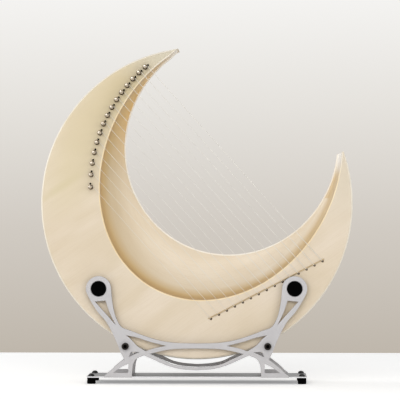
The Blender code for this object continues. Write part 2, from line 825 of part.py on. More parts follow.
def make_strings(parts, steel):
    gaps = []
    for index, pin, hole in string_ends():
        share = index / (STRING_COUNT - 1)
        radius = STRING_RADIUS_FIRST + (STRING_RADIUS_LAST - STRING_RADIUS_FIRST) * share
        points, thickness = string_route(pin, hole, radius)
        tube(f"string_{index + 1:02d}", points, radius, parts, steel, thickness)
        turns = round(WINDING_TURNS * WINDING_POINTS) + 1
        gaps.append(least_gap(points[:turns], radius))
    print(f"least gap between a winding's turns: {min(gaps) * 1000:.2f} mm")


def frame_loops():
    """Outline and windows of one frame, the left half mirrored to make the right."""
    centre = Vector((-RING_CENTRE.x, RING_CENTRE.y))
    ring = arc(centre, RING_RADIUS, 0, RING_ARC_END, RING_ARC_STEPS)
    left = [
        smooth_line(FRAME_TOP), ring, smooth_line(FRAME_OUTSIDE), smooth_line(FRAME_FOOT[:3]),
        FRAME_FOOT[3:], smooth_line(FRAME_LEG), smooth_line(FRAME_CRADLE),
    ]
    right = [mirrored(stretch) for stretch in reversed(left)]
    loops = [closed_loop([*left, *right])]
    bolt_height = bolt_place().y
    for window in (ARM_WINDOW, SMILE_WINDOW, BOLT_WINDOW, FOOT_WINDOW):
        loop = closed_loop([smooth_line(edge) for edge in window])
        loops += [loop, mirrored(loop)]
    lens = [smooth_line(LENS_TOP), smooth_line(LENS_BOTTOM)]
    whole = [lens[0], mirrored(lens[0]), mirrored(lens[1]), lens[1]]
    loops.append(closed_loop(whole))
    for side in (-1, 1):
        loops.append(circle(Vector((side * RING_CENTRE.x, RING_CENTRE.y)), RING_BORE, RING_SIDES))
        loops.append(circle(Vector((side * BOLT_X, bolt_height)), BOLT_HOLE_RADIUS, BOLT_SIDES))
    return loops


def bolt_place():
    """The cross tubes touch the harp's round underside from below."""
    reach = BODY_RADIUS + GAP + TUBE_RADIUS
    return Vector((BOLT_X, BODY_CENTRE.y - math.sqrt(reach ** 2 - BOLT_X ** 2)))


def make_frames(parts, metal):
    loops = frame_loops()
    back = FRAME_FRONT + FRAME_THICKNESS
    flat_plate("front_frame", loops, FRAME_FRONT, back, parts, metal)
    flat_plate("rear_frame", loops, -back, -FRAME_FRONT, parts, metal)


def make_base(parts, cutters, metal):
    """A thin plate with a notch for each foot rail and a hole for each foot screw."""
    middle = BASE_UNDERSIDE + BASE_THICKNESS / 2
    size = (2 * BASE_HALF_LENGTH, 2 * BASE_HALF_DEPTH, BASE_THICKNESS)
    plate = box("base_plate", size, (0, 0, middle), parts, metal)
    rail_low, rail_high = FRAME_FOOT[3][0] - GAP, FRAME_FOOT[-1][0] + GAP
    through = BASE_THICKNESS / 2 + CUT_OVERRUN
    notch_size = (rail_high - rail_low, 2 * (FRAME_THICKNESS + GAP), 2 * through)
    cuts = []
    for side in (-1, 1):
        for depth in (-1, 1):
            place = (side * (rail_low + rail_high) / 2, depth * BASE_HALF_DEPTH, middle)
            cuts.append(box("notch", notch_size, place, cutters))
            hole = prism(
                "hole", FOOT_HOLE_RADIUS, -through, through, FOOT_SCREW_SIDES, (0, 0, 0), cutters
            )
            hole.matrix_world = Matrix.Translation((side * FOOT_X, depth * FOOT_Y, middle))
            cuts.append(hole)
    boolean(plate, "DIFFERENCE", as_cutter(joined("base_cuts", cuts, cutters)))


def make_cross_members(parts, cutters, steel, metal):
    """Two socket-head bolts with their nuts, and the tubes that space the frames."""
    place = bolt_place()
    head = -FRAME_FRONT + GAP
    inside = -FRAME_FRONT - FRAME_THICKNESS - GAP
    top = head + BOLT_HEAD_HEIGHT
    shank = (
        (0, top), (BOLT_HEAD_RADIUS - BOLT_HEAD_CHAMFER, top),
        (BOLT_HEAD_RADIUS, top - BOLT_HEAD_CHAMFER), (BOLT_HEAD_RADIUS, head),
        (BOLT_RADIUS, head), (BOLT_RADIUS, -BOLT_END), (0, -BOLT_END),
    )
    for side, name in ((-1, "left"), (1, "right")):
        at = (side * place.x, 0, place.y)
        stand = Matrix.Translation(at) @ flip_to_front()
        bolt = turned(f"cross_bolt_{name}", shank, BOLT_SIDES, parts, steel)
        bolt.matrix_world = stand
        low, high = top - SOCKET_DEPTH, top + CUT_OVERRUN
        socket = prism(f"socket_{name}", SOCKET_RADIUS, low, high, 6, at, cutters)
        nut = prism(f"nut_{name}", NUT_RADIUS, -head - NUT_HEIGHT, -head, 6, at, cutters)
        boolean(bolt, "DIFFERENCE", as_cutter(socket))
        boolean(bolt, "UNION", as_cutter(nut))
        ring = (
            (TUBE_BORE, inside), (TUBE_RADIUS, inside), (TUBE_RADIUS, -inside),
            (TUBE_BORE, -inside),
        )
        spacer = turned(f"spacer_tube_{name}", ring, BOLT_SIDES, parts, metal)
        spacer.matrix_world = stand


def make_pads(parts, rubber):
    """Rubber pads: a stem through the ring and a flange between ring and harp."""
    face = BODY_DEPTH / 2 + GAP
    ring_back = -FRAME_FRONT - FRAME_THICKNESS - GAP
    proud = -FRAME_FRONT + PAD_PROUD
    profile = (
        (0, proud), (PAD_STEM_RADIUS - PAD_CHAMFER, proud), (PAD_STEM_RADIUS, proud - PAD_CHAMFER),
        (PAD_STEM_RADIUS, ring_back), (PAD_FLANGE_RADIUS, ring_back),
        (PAD_FLANGE_RADIUS, face), (0, face),
    )
    for side, name in ((-1, "left"), (1, "right")):
        for depth, end in ((1, "front"), (-1, "rear")):
            pad = turned(f"pad_{end}_{name}", profile, RING_SIDES, parts, rubber)
            spin = Matrix.Rotation(0 if depth > 0 else math.pi, 4, "Z")
            place = Matrix.Translation((side * RING_CENTRE.x, 0, RING_CENTRE.y))
            pad.matrix_world = place @ spin @ flip_to_front()


def make_feet(parts, rubber, black):
    """Rubber feet under the base plate, each held by a domed screw from above."""
    top = BASE_UNDERSIDE - GAP
    foot = (
        (FOOT_HOLE_RADIUS, top), (FOOT_RADIUS, top), (FOOT_RADIUS, FOOT_CHAMFER),
        (FOOT_RADIUS - FOOT_CHAMFER, 0), (FOOT_HOLE_RADIUS + FOOT_CHAMFER, 0),
        (FOOT_HOLE_RADIUS, FOOT_CHAMFER),
    )
    seat = BASE_UNDERSIDE + BASE_THICKNESS + GAP
    dome = [
        (FOOT_SCREW_HEAD_RADIUS * math.sin(a), seat + FOOT_SCREW_HEAD_HEIGHT * math.cos(a))
        for a in np.linspace(0, math.pi / 2, FOOT_SCREW_DOME_STEPS + 1)
    ]
    screw = [
        *dome, (FOOT_SCREW_RADIUS, seat), (FOOT_SCREW_RADIUS, FOOT_SCREW_TIP),
        (0, FOOT_SCREW_TIP),
    ]
    for side, name in ((-1, "left"), (1, "right")):
        for depth, end in ((-1, "front"), (1, "rear")):
            place = Matrix.Translation((side * FOOT_X, depth * FOOT_Y, 0))
            foot_made = turned(f"foot_{end}_{name}", foot, FOOT_SIDES, parts, rubber)
            foot_made.matrix_world = place
            screw_made = turned(f"foot_screw_{end}_{name}", screw, FOOT_SCREW_SIDES, parts, black)
            screw_made.matrix_world = place


def main():
    clear_scene()
    parts = make_collection("lyre_harp")
    cutters = make_collection("cutters")
    face_wood = make_material("face_wood", (0.78, 0.66, 0.50), 0.42)
    wall_wood = make_material("wall_wood", (0.76, 0.65, 0.47), 0.50)
    block_wood = make_material("block_wood", (0.62, 0.45, 0.28), 0.55)
    chrome = make_material("chrome", (0.75, 0.75, 0.76), 0.12, 1.0)
    string_steel = make_material("string_steel", (0.72, 0.71, 0.68), 0.25, 1.0)
    saddle_metal = make_material("saddle_metal", (0.20, 0.16, 0.11), 0.35, 1.0)
    aluminium = make_material("anodised_aluminium", (0.58, 0.58, 0.59), 0.38, 0.9)
    bolt_steel = make_material("bolt_steel", (0.20, 0.19, 0.18), 0.35, 1.0)
    rubber = make_material("rubber", (0.012, 0.012, 0.013), 0.75)
    black = make_material("black_screw", (0.020, 0.020, 0.022), 0.40)

    make_front_plate(parts, cutters, face_wood)
    make_back_plate(parts, cutters, face_wood)
    make_rim(parts, face_wood)
    make_inner_wall(parts, wall_wood)
    left_tip = make_tip_block("left_tip_block", LEFT_TIP, LEFT_BLOCK_END, parts, face_wood)
    drill_for_pins(left_tip, range(PINS_IN_BLOCK, STRING_COUNT), cutters)
    make_tip_block("right_tip_block", RIGHT_BLOCK_END, RIGHT_TIP, parts, face_wood)
    make_pin_block(parts, cutters, block_wood)
    make_bridge_block(parts, cutters, block_wood)
    make_brace(parts, block_wood)
    make_saddle(parts, saddle_metal)
    make_pins(parts, cutters, chrome)
    make_strings(parts, string_steel)
    make_frames(parts, aluminium)
    make_base(parts, cutters, aluminium)
    make_cross_members(parts, cutters, bolt_steel, aluminium)
    make_pads(parts, rubber)
    make_feet(parts, rubber, black)
    for obj in [*parts.objects, *cutters.objects]:
        obj.location.y += FOOTPRINT_SHIFT


main()
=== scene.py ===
"""Looks of a crescent lyre harp on its metal table stand.

Each wooden, metal and rubber piece is rebuilt here with a fine, smooth surface in
the place of its plainer solid, and given its material. Units are metres, X runs to
the right, Y away from the camera and Z up.
"""

import json
import math

import bmesh
import bpy
import numpy as np
from mathutils import Matrix, Vector


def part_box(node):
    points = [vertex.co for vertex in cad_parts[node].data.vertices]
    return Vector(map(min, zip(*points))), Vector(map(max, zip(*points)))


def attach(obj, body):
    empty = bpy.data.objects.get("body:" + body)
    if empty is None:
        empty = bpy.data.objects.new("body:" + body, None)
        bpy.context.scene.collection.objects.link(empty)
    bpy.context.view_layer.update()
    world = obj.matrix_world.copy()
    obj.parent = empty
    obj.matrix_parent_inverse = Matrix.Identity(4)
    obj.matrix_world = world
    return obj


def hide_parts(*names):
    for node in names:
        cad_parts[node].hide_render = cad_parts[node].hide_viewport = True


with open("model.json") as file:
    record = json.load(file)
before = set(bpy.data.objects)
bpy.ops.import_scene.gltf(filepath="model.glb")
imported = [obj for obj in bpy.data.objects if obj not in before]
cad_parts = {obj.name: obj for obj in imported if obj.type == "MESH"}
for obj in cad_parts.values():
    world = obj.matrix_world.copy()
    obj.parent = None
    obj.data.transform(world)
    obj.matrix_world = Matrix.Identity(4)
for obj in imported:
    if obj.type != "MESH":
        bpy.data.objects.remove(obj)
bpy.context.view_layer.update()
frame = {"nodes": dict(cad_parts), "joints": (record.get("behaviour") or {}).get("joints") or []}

# The harp's body, between its front and back faces
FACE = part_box("front_plate")[0].y
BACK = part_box("back_plate")[1].y
PLATE = 0.005
INSIDE_FRONT = FACE + PLATE
INSIDE_BACK = BACK - PLATE
WALL = 0.004
RIM = 0.006
SEAM = 0.00004
CENTRE = Vector((0.0, 0.2524))
RADIUS = 0.2185
TIP_WIDTH = 0.0030
OUTER_ROUNDING = 0.0042
INNER_ROUNDING = 0.0012
ROUND_STEPS = 6
LIP_BAND = 1.4
RIM_BAND = 0.5
BACK_LIP_BAND = 0.0040
PLATE_DRILL = (0.002, 0.010)

# The two inner edges are ellipses: centre from the body's centre, half axes, tilt
FRONT_EDGE = (Vector((0.0337, 0.0519)), 0.1946, 0.1612, math.radians(60.9))
BACK_EDGE = (Vector((0.0481, 0.0824)), 0.1556, 0.1503, math.radians(65.7))
BACK_LIP = 0.0020
COVE_STEPS = 20
BODY_STEPS = 200
TIP_STEPS = 40
PIN_BLOCK_STEPS = 30

# Angles round the body's centre, from the left tip down and round to the right tip
LEFT_TIP = math.radians(96.8)
LEFT_BLOCK_END = math.radians(115.2)
RIGHT_BLOCK_END = math.radians(362.5)
RIGHT_TIP = math.radians(379.5)

# The left horn narrows to a point over this angle; the right horn is cut off square
NOSE = math.radians(4.0)
NOSE_LEAST = 0.06

# Pins, studs, strings and saddle, with heights above the front face
PINS = [Vector((j["pos_m"][0], j["pos_m"][2])) for j in frame["joints"] if j["type"] == "hinge"]
HOLE_FIRST = Vector((0.0202, 0.0907))
HOLE_LAST = Vector((0.1761, 0.1713))
PIN_RADIUS = 0.0025
PIN_BORE = 0.0028
PIN_TOP = 0.024
PIN_BOTTOM = -0.022
PIN_ROUND_TOP = 0.0125
HEAD_IN_SHANK = 0.003
HEAD_BEVEL = 0.00028
PIN_TURN_STEP = math.radians(37)
COLLAR_RADIUS = 0.0035
COLLAR_LOW = 0.0003
COLLAR_HIGH = 0.0018
PIN_HOLE_HEIGHT = 0.0098
PIN_HOLE_RADIUS = 0.0006
STRING_RADIUS_FIRST = 0.00020
STRING_RADIUS_LAST = 0.00033
STRING_RISE_AT_PIN = 0.0050
WINDING_TURNS = 3.5
WINDING_POINTS = 28
WINDING_SPACE = 0.00016
WINDING_FROM_PIN = 0.00030
COIL_WIDTH = 0.0012
SADDLE_RADIUS = 0.0008
SADDLE_FROM_HOLES = 0.0020
SADDLE_OVERHANG = 0.0035
TOUCH = 0.0003
HOLE_RADIUS = 0.0010
EYELET = (
    (0.0007, -0.0012), (0.00098, -0.0012), (0.00098, 0.00001), (0.0016, 0.00001),
    (0.0016, 0.00012), (0.00152, 0.0002), (0.0007, 0.00012),
)
BRIDGE_BLOCK_DEPTH = 0.014
BALL = (
    (0.0004, 0), (0.0016, 0), (0.0019, -0.0003), (0.0015, -0.0017), (0.0019, -0.0031),
    (0.0016, -0.0034), (0.0004, -0.0034),
)
STUD_RADIUS = 0.0010
STUD_HEIGHT = 0.0065
STUD_DEPTH = 0.012
STUD_DISTANCE = 0.0049
STUD_ANGLES = (math.radians(92), math.radians(33))
STUD_ANGLE_BEND = 0.6
STUD_HEAD = 0.0013
STUD_HEAD_DEPTH = 0.0012
STUD_DOME = 0.0007

# The block behind the pins, round the arc on which they stand
PIN_ARC_CENTRE = CENTRE + Vector((0.0728, 0.0235))
PIN_ARC_RADIUS = 0.2214
PIN_BLOCK_DEPTH = 0.024
PIN_BLOCK_INSIDE = 0.0060
PIN_BLOCK_OUTSIDE = 0.0120
PIN_BLOCK_END = math.radians(2.8)
PINS_IN_BLOCK = 13
TIP_DRILL = 0.030
SOUND_HOLE_RADIUS = 0.022
SOUND_HOLES = (Vector((-0.066, -0.156)), Vector((0.066, -0.156)))

# The stand; profiles are points (radius, height), from a head's seat or the end of a nut or tube
FRONT_FRAME = (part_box("front_frame")[0].y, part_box("front_frame")[1].y)
REAR_FRAME = (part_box("rear_frame")[0].y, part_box("rear_frame")[1].y)
MIDDLE_Y = (FRONT_FRAME[0] + REAR_FRAME[1]) / 2
RING_CENTRE = Vector((0.137, 0.133))
RING_RADIUS = 0.0176
RING_BORE = 0.0107
RING_CHAMFER = 0.0007
RING_SWEEP = math.radians(200)
BOLT_PLACE = Vector((
    0.0994, (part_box("spacer_tube_left")[0].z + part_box("spacer_tube_left")[1].z) / 2,
))
BOLT_HOLE = 0.0034
BOLT_RADIUS = 0.0030
BOLT_END = 0.0520
BOLT_HEAD = (
    (0, 0.0060), (0.0038, 0.0060), (0.0043, 0.0059), (0.0048, 0.0056), (0.0050, 0.0050),
    (0.0050, 0.0003), (0.0047, 0),
)
SOCKET_RADIUS = 0.0029
SOCKET_DEPTH = 0.003
SOCKET_TAPER = 0.9
NUT = (
    (0.0031, 0), (0.0052, 0), (0.0059, -0.0005), (0.0059, -0.0045), (0.0052, -0.0050),
    (0.0031, -0.0050),
)
NUT_FLATS = 0.0058
SPACER_END = ((0.0034, 0), (0.0040, 0), (0.0042, 0.0003))
EDGE_EASE = 0.00035
PAD_STEM = 0.0104
PAD_FLANGE = 0.0140
PAD_ROUNDING = 0.0005
PAD_DOME = (0.0007, 0.0002)
BASE_CORNER = 0.0020
BASE_EASE = 0.0003
BASE_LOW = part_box("base_plate")[0]
BASE_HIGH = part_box("base_plate")[1]
FOOT_RADIUS = 0.0060
FOOT_X = 0.1473
FOOT_Y = 0.0345
FOOT_HOLE = 0.0023
FOOT_EDGE = 0.0003
# A foot's side below its top edge, with a groove round it: height and inset
FOOT_SIDE = (
    (0.0060, 0), (0.0056, 0.0004), (0.0052, 0.0004), (0.0048, 0), (0.0010, 0),
    (0.0003, 0.0003), (0, 0.0009),
)
# The foot's screw: its head's radius and rise, its shank, and the recess's radius, foot and top
SCREW_HEAD = (0.0044, 0.0034)
SCREW_SHANK = ((0.0020, 0.0034), (0.0016, 0.0030), (0, 0.0030))
RECESS = (0.0016, 0.0016, 0.0040)

SIDES = ((-1, "left"), (1, "right"))

# Left half of a frame's outline, from the middle of the top edge to the ring
FRAME_TOP = (
    (0.0000, 0.0568), (-0.0265, 0.0574), (-0.0484, 0.0602), (-0.0704, 0.0665),
    (-0.0922, 0.0746), (-0.1051, 0.0800), (-0.1122, 0.0921), (-0.1157, 0.1042),
    (-0.1180, 0.1180), (-0.1194, 0.1330),
)
# From the ring down the arm's outer side to the short leg
FRAME_OUTSIDE = (
    (-0.1535, 0.1270), (-0.1493, 0.1184), (-0.1387, 0.1014), (-0.1265, 0.0871),
    (-0.1164, 0.0689), (-0.1093, 0.0528), (-0.1060, 0.0440), (-0.1010, 0.0340),
)
# Down the low arch to the foot rail, and round the rail
FRAME_FOOT = (
    (-0.1038, 0.0325), (-0.1173, 0.0218), (-0.1236, 0.0154), (-0.1290, 0.0112),
    (-0.1290, 0.0091), (-0.0903, 0.0091),
)
# Up the inner leg to where the cradle leaves it
FRAME_LEG = (
    (-0.0903, 0.0091), (-0.0895, 0.0204), (-0.0879, 0.0287), (-0.0835, 0.0352),
    (-0.0733, 0.0398),
)
# Along the underside of the cradle to the middle
FRAME_CRADLE = (
    (-0.0733, 0.0398), (-0.0642, 0.0358), (-0.0484, 0.0287), (-0.0359, 0.0240),
    (-0.0204, 0.0206), (0.0000, 0.0193),
)
# Windows of the left half: each is a loop of smooth edges, and each edge ends where the next starts
WINDOWS = (
    (
        ((-0.1419, 0.1150),),
        ((-0.1272, 0.1165), (-0.1215, 0.1000)),
        ((-0.1132, 0.0829), (-0.1270, 0.0985)),
    ),
    (
        ((-0.0979, 0.0680), (-0.0823, 0.0647), (-0.0671, 0.0596)),
        ((-0.0430, 0.0534), (-0.0590, 0.0500)),
        ((-0.0710, 0.0460), (-0.0828, 0.0533), (-0.0922, 0.0633)),
    ),
    (((-0.0914, 0.0450),), ((-0.0800, 0.0445),), ((-0.0945, 0.0378),)),
    (((-0.0950, 0.0285),), ((-0.0955, 0.0158),), ((-0.1160, 0.0158), (-0.1060, 0.0230))),
)
# The long window between arch and cradle spans both halves
LENS_TOP = (
    (-0.0655, 0.0420), (-0.0484, 0.0462), (-0.0359, 0.0483), (-0.0236, 0.0493),
    (0.0000, 0.0497),
)
LENS_BOTTOM = (
    (0.0000, 0.0232), (-0.0204, 0.0249), (-0.0359, 0.0283), (-0.0484, 0.0343),
    (-0.0655, 0.0420),
)

# The photograph's camera, and how far back the floor reaches
CAMERA_PLACE = Vector((0.0817, -3.128, 0.2193))
CAMERA_TARGET = Vector((0.0047, -0.028, 0.2571))
CAMERA_LENS = 199.3
FLOOR_END = 0.735
FLOOR_REACH = 6.0
FLOOR_GLOW = 0.35
SHADE_REACH = 0.08
SHADE_LEAST = 0.66

# The backdrop's colours from its foot up, between these two slopes of the view
BACKDROP_SLOPES = (-0.056, 0.105)
BACKDROP = (
    (0.0, (191, 183, 172)), (0.35, (209, 203, 195)), (0.70, (230, 227, 222)),
    (1.0, (245, 244, 242)),
)
WORLD_LIGHT = 0.44

# Lamps: name, place, size and power
LAMP_TARGET = (0.0, 0.0, 0.24)
LAMPS = (
    ("key", (-1.5, -2.7, 1.2), (1.8, 1.8), 23),
    ("front", (0.2, -3.1, 1.5), (1.4, 0.8), 18),
    ("fill", (1.9, -2.4, 0.3), (1.6, 1.6), 18),
    ("left_edge", (-2.2, 0.5, 0.9), (0.8, 1.6), 14),
    ("right_edge", (2.2, 0.5, 0.6), (0.8, 1.6), 5),
)


# Mesh helpers

WELD = 0.000002
TO_FRONT = Matrix.Rotation(math.pi / 2, 4, "X")


def add_object(name, data, *materials):
    made = bpy.data.objects.new(name, data)
    bpy.context.scene.collection.objects.link(made)
    for material in materials:
        data.materials.append(material)
    return made


def skin(rows, around=True, through=False, start=0.0):
    """Quads between rows of points, with UVs in metres along the rows and across them.

    Around closes each row into a ring, and through joins the last row to the first.
    Start is the place of the first row along a longer piece that this one carries on.
    """
    work = bmesh.new()
    flow = work.loops.layers.uv.new("flow")
    places = np.array(rows, dtype=float)
    if around:
        places = np.concatenate([places, places[:, :1]], axis=1)
    if through:
        places = np.concatenate([places, places[:1]], axis=0)
    steps = np.linalg.norm(np.diff(places, axis=0), axis=2).mean(axis=1)
    along = start + np.append(0, np.cumsum(steps))
    across = np.linalg.norm(np.diff(places, axis=1), axis=2)
    across = np.concatenate([np.zeros((len(places), 1)), np.cumsum(across, axis=1)], axis=1)
    verts = [[work.verts.new(point) for point in row] for row in rows]
    for i in range(places.shape[0] - 1):
        for j in range(places.shape[1] - 1):
            corners = ((i, j), (i, j + 1), (i + 1, j + 1), (i + 1, j))
            face = work.faces.new([verts[a % len(verts)][b % len(verts[0])] for a, b in corners])
            for loop, (a, b) in zip(face.loops, corners):
                loop[flow].uv = (along[a], across[a, b])
    if around and not through:
        for row, place in ((verts[0], along[0]), (verts[-1][::-1], along[-1])):
            for loop in work.faces.new(row).loops:
                loop[flow].uv = (place, 0.0)
    return work


def to_mesh(name, work):
    mesh = bpy.data.meshes.new(name)
    work.to_mesh(mesh)
    work.free()
    return mesh


def closed_mesh(name, work):
    """A mesh with its doubled points welded and its faces pointing out."""
    bmesh.ops.remove_doubles(work, verts=work.verts, dist=WELD)
    bmesh.ops.recalc_face_normals(work, faces=work.faces)
    return to_mesh(name, work)


def add_closed(name, work, *materials):
    return add_object(name, closed_mesh(name, work), *materials)


def set_materials(data, *materials):
    data.materials.clear()
    for material in materials:
        data.materials.append(material)


def smooth(obj, degrees=35, weighted=False):
    obj.data.shade_smooth()
    obj.data.set_sharp_from_angle(angle=math.radians(degrees))
    if weighted:
        even = obj.modifiers.new("even_normals", "WEIGHTED_NORMAL")
        even.keep_sharp = True
    return obj


def turned_mesh(name, profile, sides, *materials):
    """A shape turned about local Z from (radius, height) points, closed at the axis or a ring."""
    rows = []
    for turn in np.linspace(0, 2 * math.pi, sides, endpoint=False):
        rows.append([(r * math.cos(turn), r * math.sin(turn), h) for r, h in profile])
    ring = profile[0][0] > 0
    work = skin(rows, around=ring, through=True)
    bmesh.ops.dissolve_degenerate(work, edges=work.edges, dist=WELD)
    mesh = closed_mesh(name, work)
    for material in materials:
        mesh.materials.append(material)
    return mesh


def raised(profile, height):
    return [(r, height + h) for r, h in profile]


def facing(place, back_to_front=False):
    """A matrix that stands a turned shape on a point, with its local Z towards the front."""
    turn = Matrix.Rotation(math.pi if back_to_front else 0, 4, "Z") @ TO_FRONT
    return Matrix.Translation(place) @ turn


def evaluated_mesh(obj):
    bpy.context.view_layer.update()
    graph = bpy.context.evaluated_depsgraph_get()
    return bpy.data.meshes.new_from_object(obj.evaluated_get(graph))


def boolean(obj, operation, other):
    cut = obj.modifiers.new(operation.lower(), "BOOLEAN")
    cut.operation = operation
    cut.solver = "EXACT"
    cut.object = other
    mesh = evaluated_mesh(obj)
    obj.modifiers.clear()
    obj.data = mesh
    bpy.data.objects.remove(other, do_unlink=True)
    return obj


def curve_mesh(curve, lines, closed):
    """The mesh of a curve drawn through lines of points."""
    for line in lines:
        spline = curve.splines.new("POLY")
        spline.points.add(len(line) - 1)
        for point, place in zip(spline.points, line):
            point.co = (*place, 1.0)
        spline.use_cyclic_u = closed
    drawn = add_object("drawn", curve)
    mesh = evaluated_mesh(drawn)
    bpy.data.objects.remove(drawn, do_unlink=True)
    mesh.materials.clear()
    return mesh


def add_cone(work, low_radius, high_radius, length, matrix, sides):
    bmesh.ops.create_cone(
        work, cap_ends=True, segments=sides, radius1=low_radius, radius2=high_radius,
        depth=length, matrix=matrix,
    )


def cylinders(spots, low, high, sides=32):
    """One cutter made of several cylinders along Y: each spot is (place in XZ, radius)."""
    work = bmesh.new()
    for place, radius in spots:
        spot = facing(lift(place, (low + high) / 2))
        add_cone(work, radius, radius, high - low, spot, sides)
    return add_object("cutter", to_mesh("cutter", work))


def dress(obj, body, slot, *nodes):
    """Puts a piece on its body and hides the nodes that it stands for; its material slot is not
    used.
    """
    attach(obj, body)
    if nodes:
        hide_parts(*nodes)


def settle(obj, matrix, body, slot, *nodes, degrees=35):
    """Stands a piece in its place, smooths it and dresses it."""
    obj.matrix_world = matrix
    dress(smooth(obj, degrees), body, slot, *nodes)


# Outline helpers


def towards(angle):
    return Vector((math.cos(angle), math.sin(angle)))


def quarter(steps):
    """Evenly spaced angles of a quarter turn."""
    return np.linspace(0, math.pi / 2, steps + 1)


def arc(centre, radius, start, end, steps):
    return [centre + radius * towards(a) for a in np.linspace(start, end, steps + 1)]


LINE_STEPS = 8
SAME_PLACE = 0.0002


def smooth_line(points):
    """Points of a smooth curve through the given ones, whose ends stay sharp corners."""
    knots = [Vector(p) for p in points]
    if len(knots) < 3:
        return knots
    ends = [2 * knots[0] - knots[1], *knots, 2 * knots[-1] - knots[-2]]
    found = []
    for i in range(1, len(ends) - 2):
        before, start, end, after = ends[i - 1:i + 3]
        for step in range(LINE_STEPS):
            t = step / LINE_STEPS
            found.append(0.5 * (
                2 * start + (end - before) * t
                + (2 * before - 5 * start + 4 * end - after) * t * t
                + (3 * start - before - 3 * end + after) * t ** 3
            ))
    return [*found, knots[-1]]


def closed_loop(stretches):
    """Joins stretches end to end and drops the points that they share."""
    loop = []
    for stretch in stretches:
        for point in stretch:
            if not loop or (Vector(point) - loop[-1]).length > SAME_PLACE:
                loop.append(Vector(point))
    while (loop[0] - loop[-1]).length < SAME_PLACE:
        loop.pop()
    return loop


def mirrored(points):
    return [Vector((-p[0], p[1])) for p in reversed(points)]


def nose(angle):
    """The share of its width that the body keeps at this angle, less than 1 at the left tip."""
    into = min(max((angle - LEFT_TIP) / NOSE, 0), 1)
    return NOSE_LEAST + (1 - NOSE_LEAST) * math.sin(into * math.pi / 2)


def edge_reach(edge, angle):
    """Distance from the body's centre to an inner edge; it runs into the rim at the tips."""
    centre, along, across, tilt = edge
    turn = Matrix.Rotation(-tilt, 2)
    start = turn @ -centre
    step = turn @ towards(angle)
    start = Vector((start.x / along, start.y / across))
    step = Vector((step.x / along, step.y / across))
    half = start.dot(step) / step.length_squared
    reach = -half + math.sqrt(half ** 2 - (start.length_squared - 1) / step.length_squared)
    return RADIUS - max(RADIUS - reach, TIP_WIDTH) * nose(angle)


def body_angles(start, end, steps):
    """Evenly spaced body angles, with four times as many where the left horn narrows."""
    if start > LEFT_TIP:
        return np.linspace(start, end, steps + 1)
    narrowing = round(4 * steps * NOSE / (end - start))
    narrow = np.linspace(start, start + NOSE, narrowing + 1)[:-1]
    return [*narrow, *np.linspace(start + NOSE, end, steps + 1)]


def lift(flat, depth):
    return (flat.x, depth, flat.y)


def on_face(flat):
    return facing(lift(flat, FACE))


def section_at(angle, profile):
    """A section of the body at one angle, from points (reach, depth)."""
    return [lift(CENTRE + reach * towards(angle), depth) for reach, depth in profile]


def string_hole(index):
    return HOLE_FIRST.lerp(HOLE_LAST, index / (len(PINS) - 1))


def stud_place(index):
    share = (index / (len(PINS) - 1)) ** STUD_ANGLE_BEND
    angle = STUD_ANGLES[0] + (STUD_ANGLES[1] - STUD_ANGLES[0]) * share
    return PINS[index] + STUD_DISTANCE * towards(angle)


# Materials


def linear(color):
    """Linear RGB of a colour given as it looks, in steps of 0 to 255."""
    return tuple(((c / 255 + 0.055) / 1.055) ** 2.4 if c > 10 else c / 255 / 12.92 for c in color)


def node(tree, kind, inputs=None, **settings):
    made = tree.nodes.new("ShaderNode" + kind)
    for key, value in settings.items():
        setattr(made, key, value)
    for key, value in (inputs or {}).items():
        if isinstance(value, bpy.types.NodeSocket):
            tree.links.new(value, made.inputs[key])
        else:
            made.inputs[key].default_value = value
    return made


def start_material(name, color, roughness, metallic=0.0, **sockets):
    made = bpy.data.materials.new(name)
    made.use_nodes = True
    shader = made.node_tree.nodes["Principled BSDF"]
    shader.inputs["Base Color"].default_value = (*linear(color), 1.0)
    shader.inputs["Roughness"].default_value = roughness
    shader.inputs["Metallic"].default_value = metallic
    for key, value in sockets.items():
        shader.inputs[key.replace("_", " ")].default_value = value
    return made, made.node_tree, shader


def mapped(tree, source, sizes, turn, place=(0, 0, 0)):
    """Coordinates that measure these sizes along, in depth and across a direction in XZ."""
    made = node(
        tree, "Mapping",
        {"Vector": source, "Location": place, "Rotation": (0, -turn, 0), "Scale": sizes},
        vector_type="TEXTURE",
    )
    return made.outputs["Vector"]


def noise(tree, source, sizes, turn=0.0, detail=2.0, distortion=0.0):
    made = node(
        tree, "TexNoise",
        {"Vector": mapped(tree, source, sizes, turn), "Scale": 1.0, "Detail": detail,
         "Distortion": distortion},
    )
    return made.outputs["Fac"]


def ranged(tree, value, low, high, to_low=0.0, to_high=1.0):
    made = node(
        tree, "MapRange",
        {"Value": value, "From Min": low, "From Max": high, "To Min": to_low, "To Max": to_high},
    )
    return made.outputs["Result"]


def mixed(tree, factor, first, second):
    made = node(tree, "Mix", data_type="RGBA")
    for index, value in ((0, factor), (6, first), (7, second)):
        if isinstance(value, bpy.types.NodeSocket):
            tree.links.new(value, made.inputs[index])
        elif index == 0:
            made.inputs[0].default_value = value
        else:
            made.inputs[index].default_value = (*linear(value), 1.0)
    return made.outputs[2]


def product(tree, *factors):
    found = factors[0]
    for factor in factors[1:]:
        found = node(tree, "Math", {0: found, 1: factor}, operation="MULTIPLY").outputs[0]
    return found


def patch(tree, source, place, sizes, turn):
    """A soft oval patch, 1 in its middle and 0 at its edge."""
    vector = mapped(tree, source, sizes, turn, place)
    return node(tree, "TexGradient", {"Vector": vector}, gradient_type="SPHERICAL").outputs["Fac"]


def bumped(tree, shader, height, strength, distance):
    made = node(tree, "Bump", {"Height": height, "Strength": strength, "Distance": distance})
    tree.links.new(made.outputs["Normal"], shader.inputs["Normal"])


def object_coordinates(tree):
    return node(tree, "TexCoord").outputs["Object"]


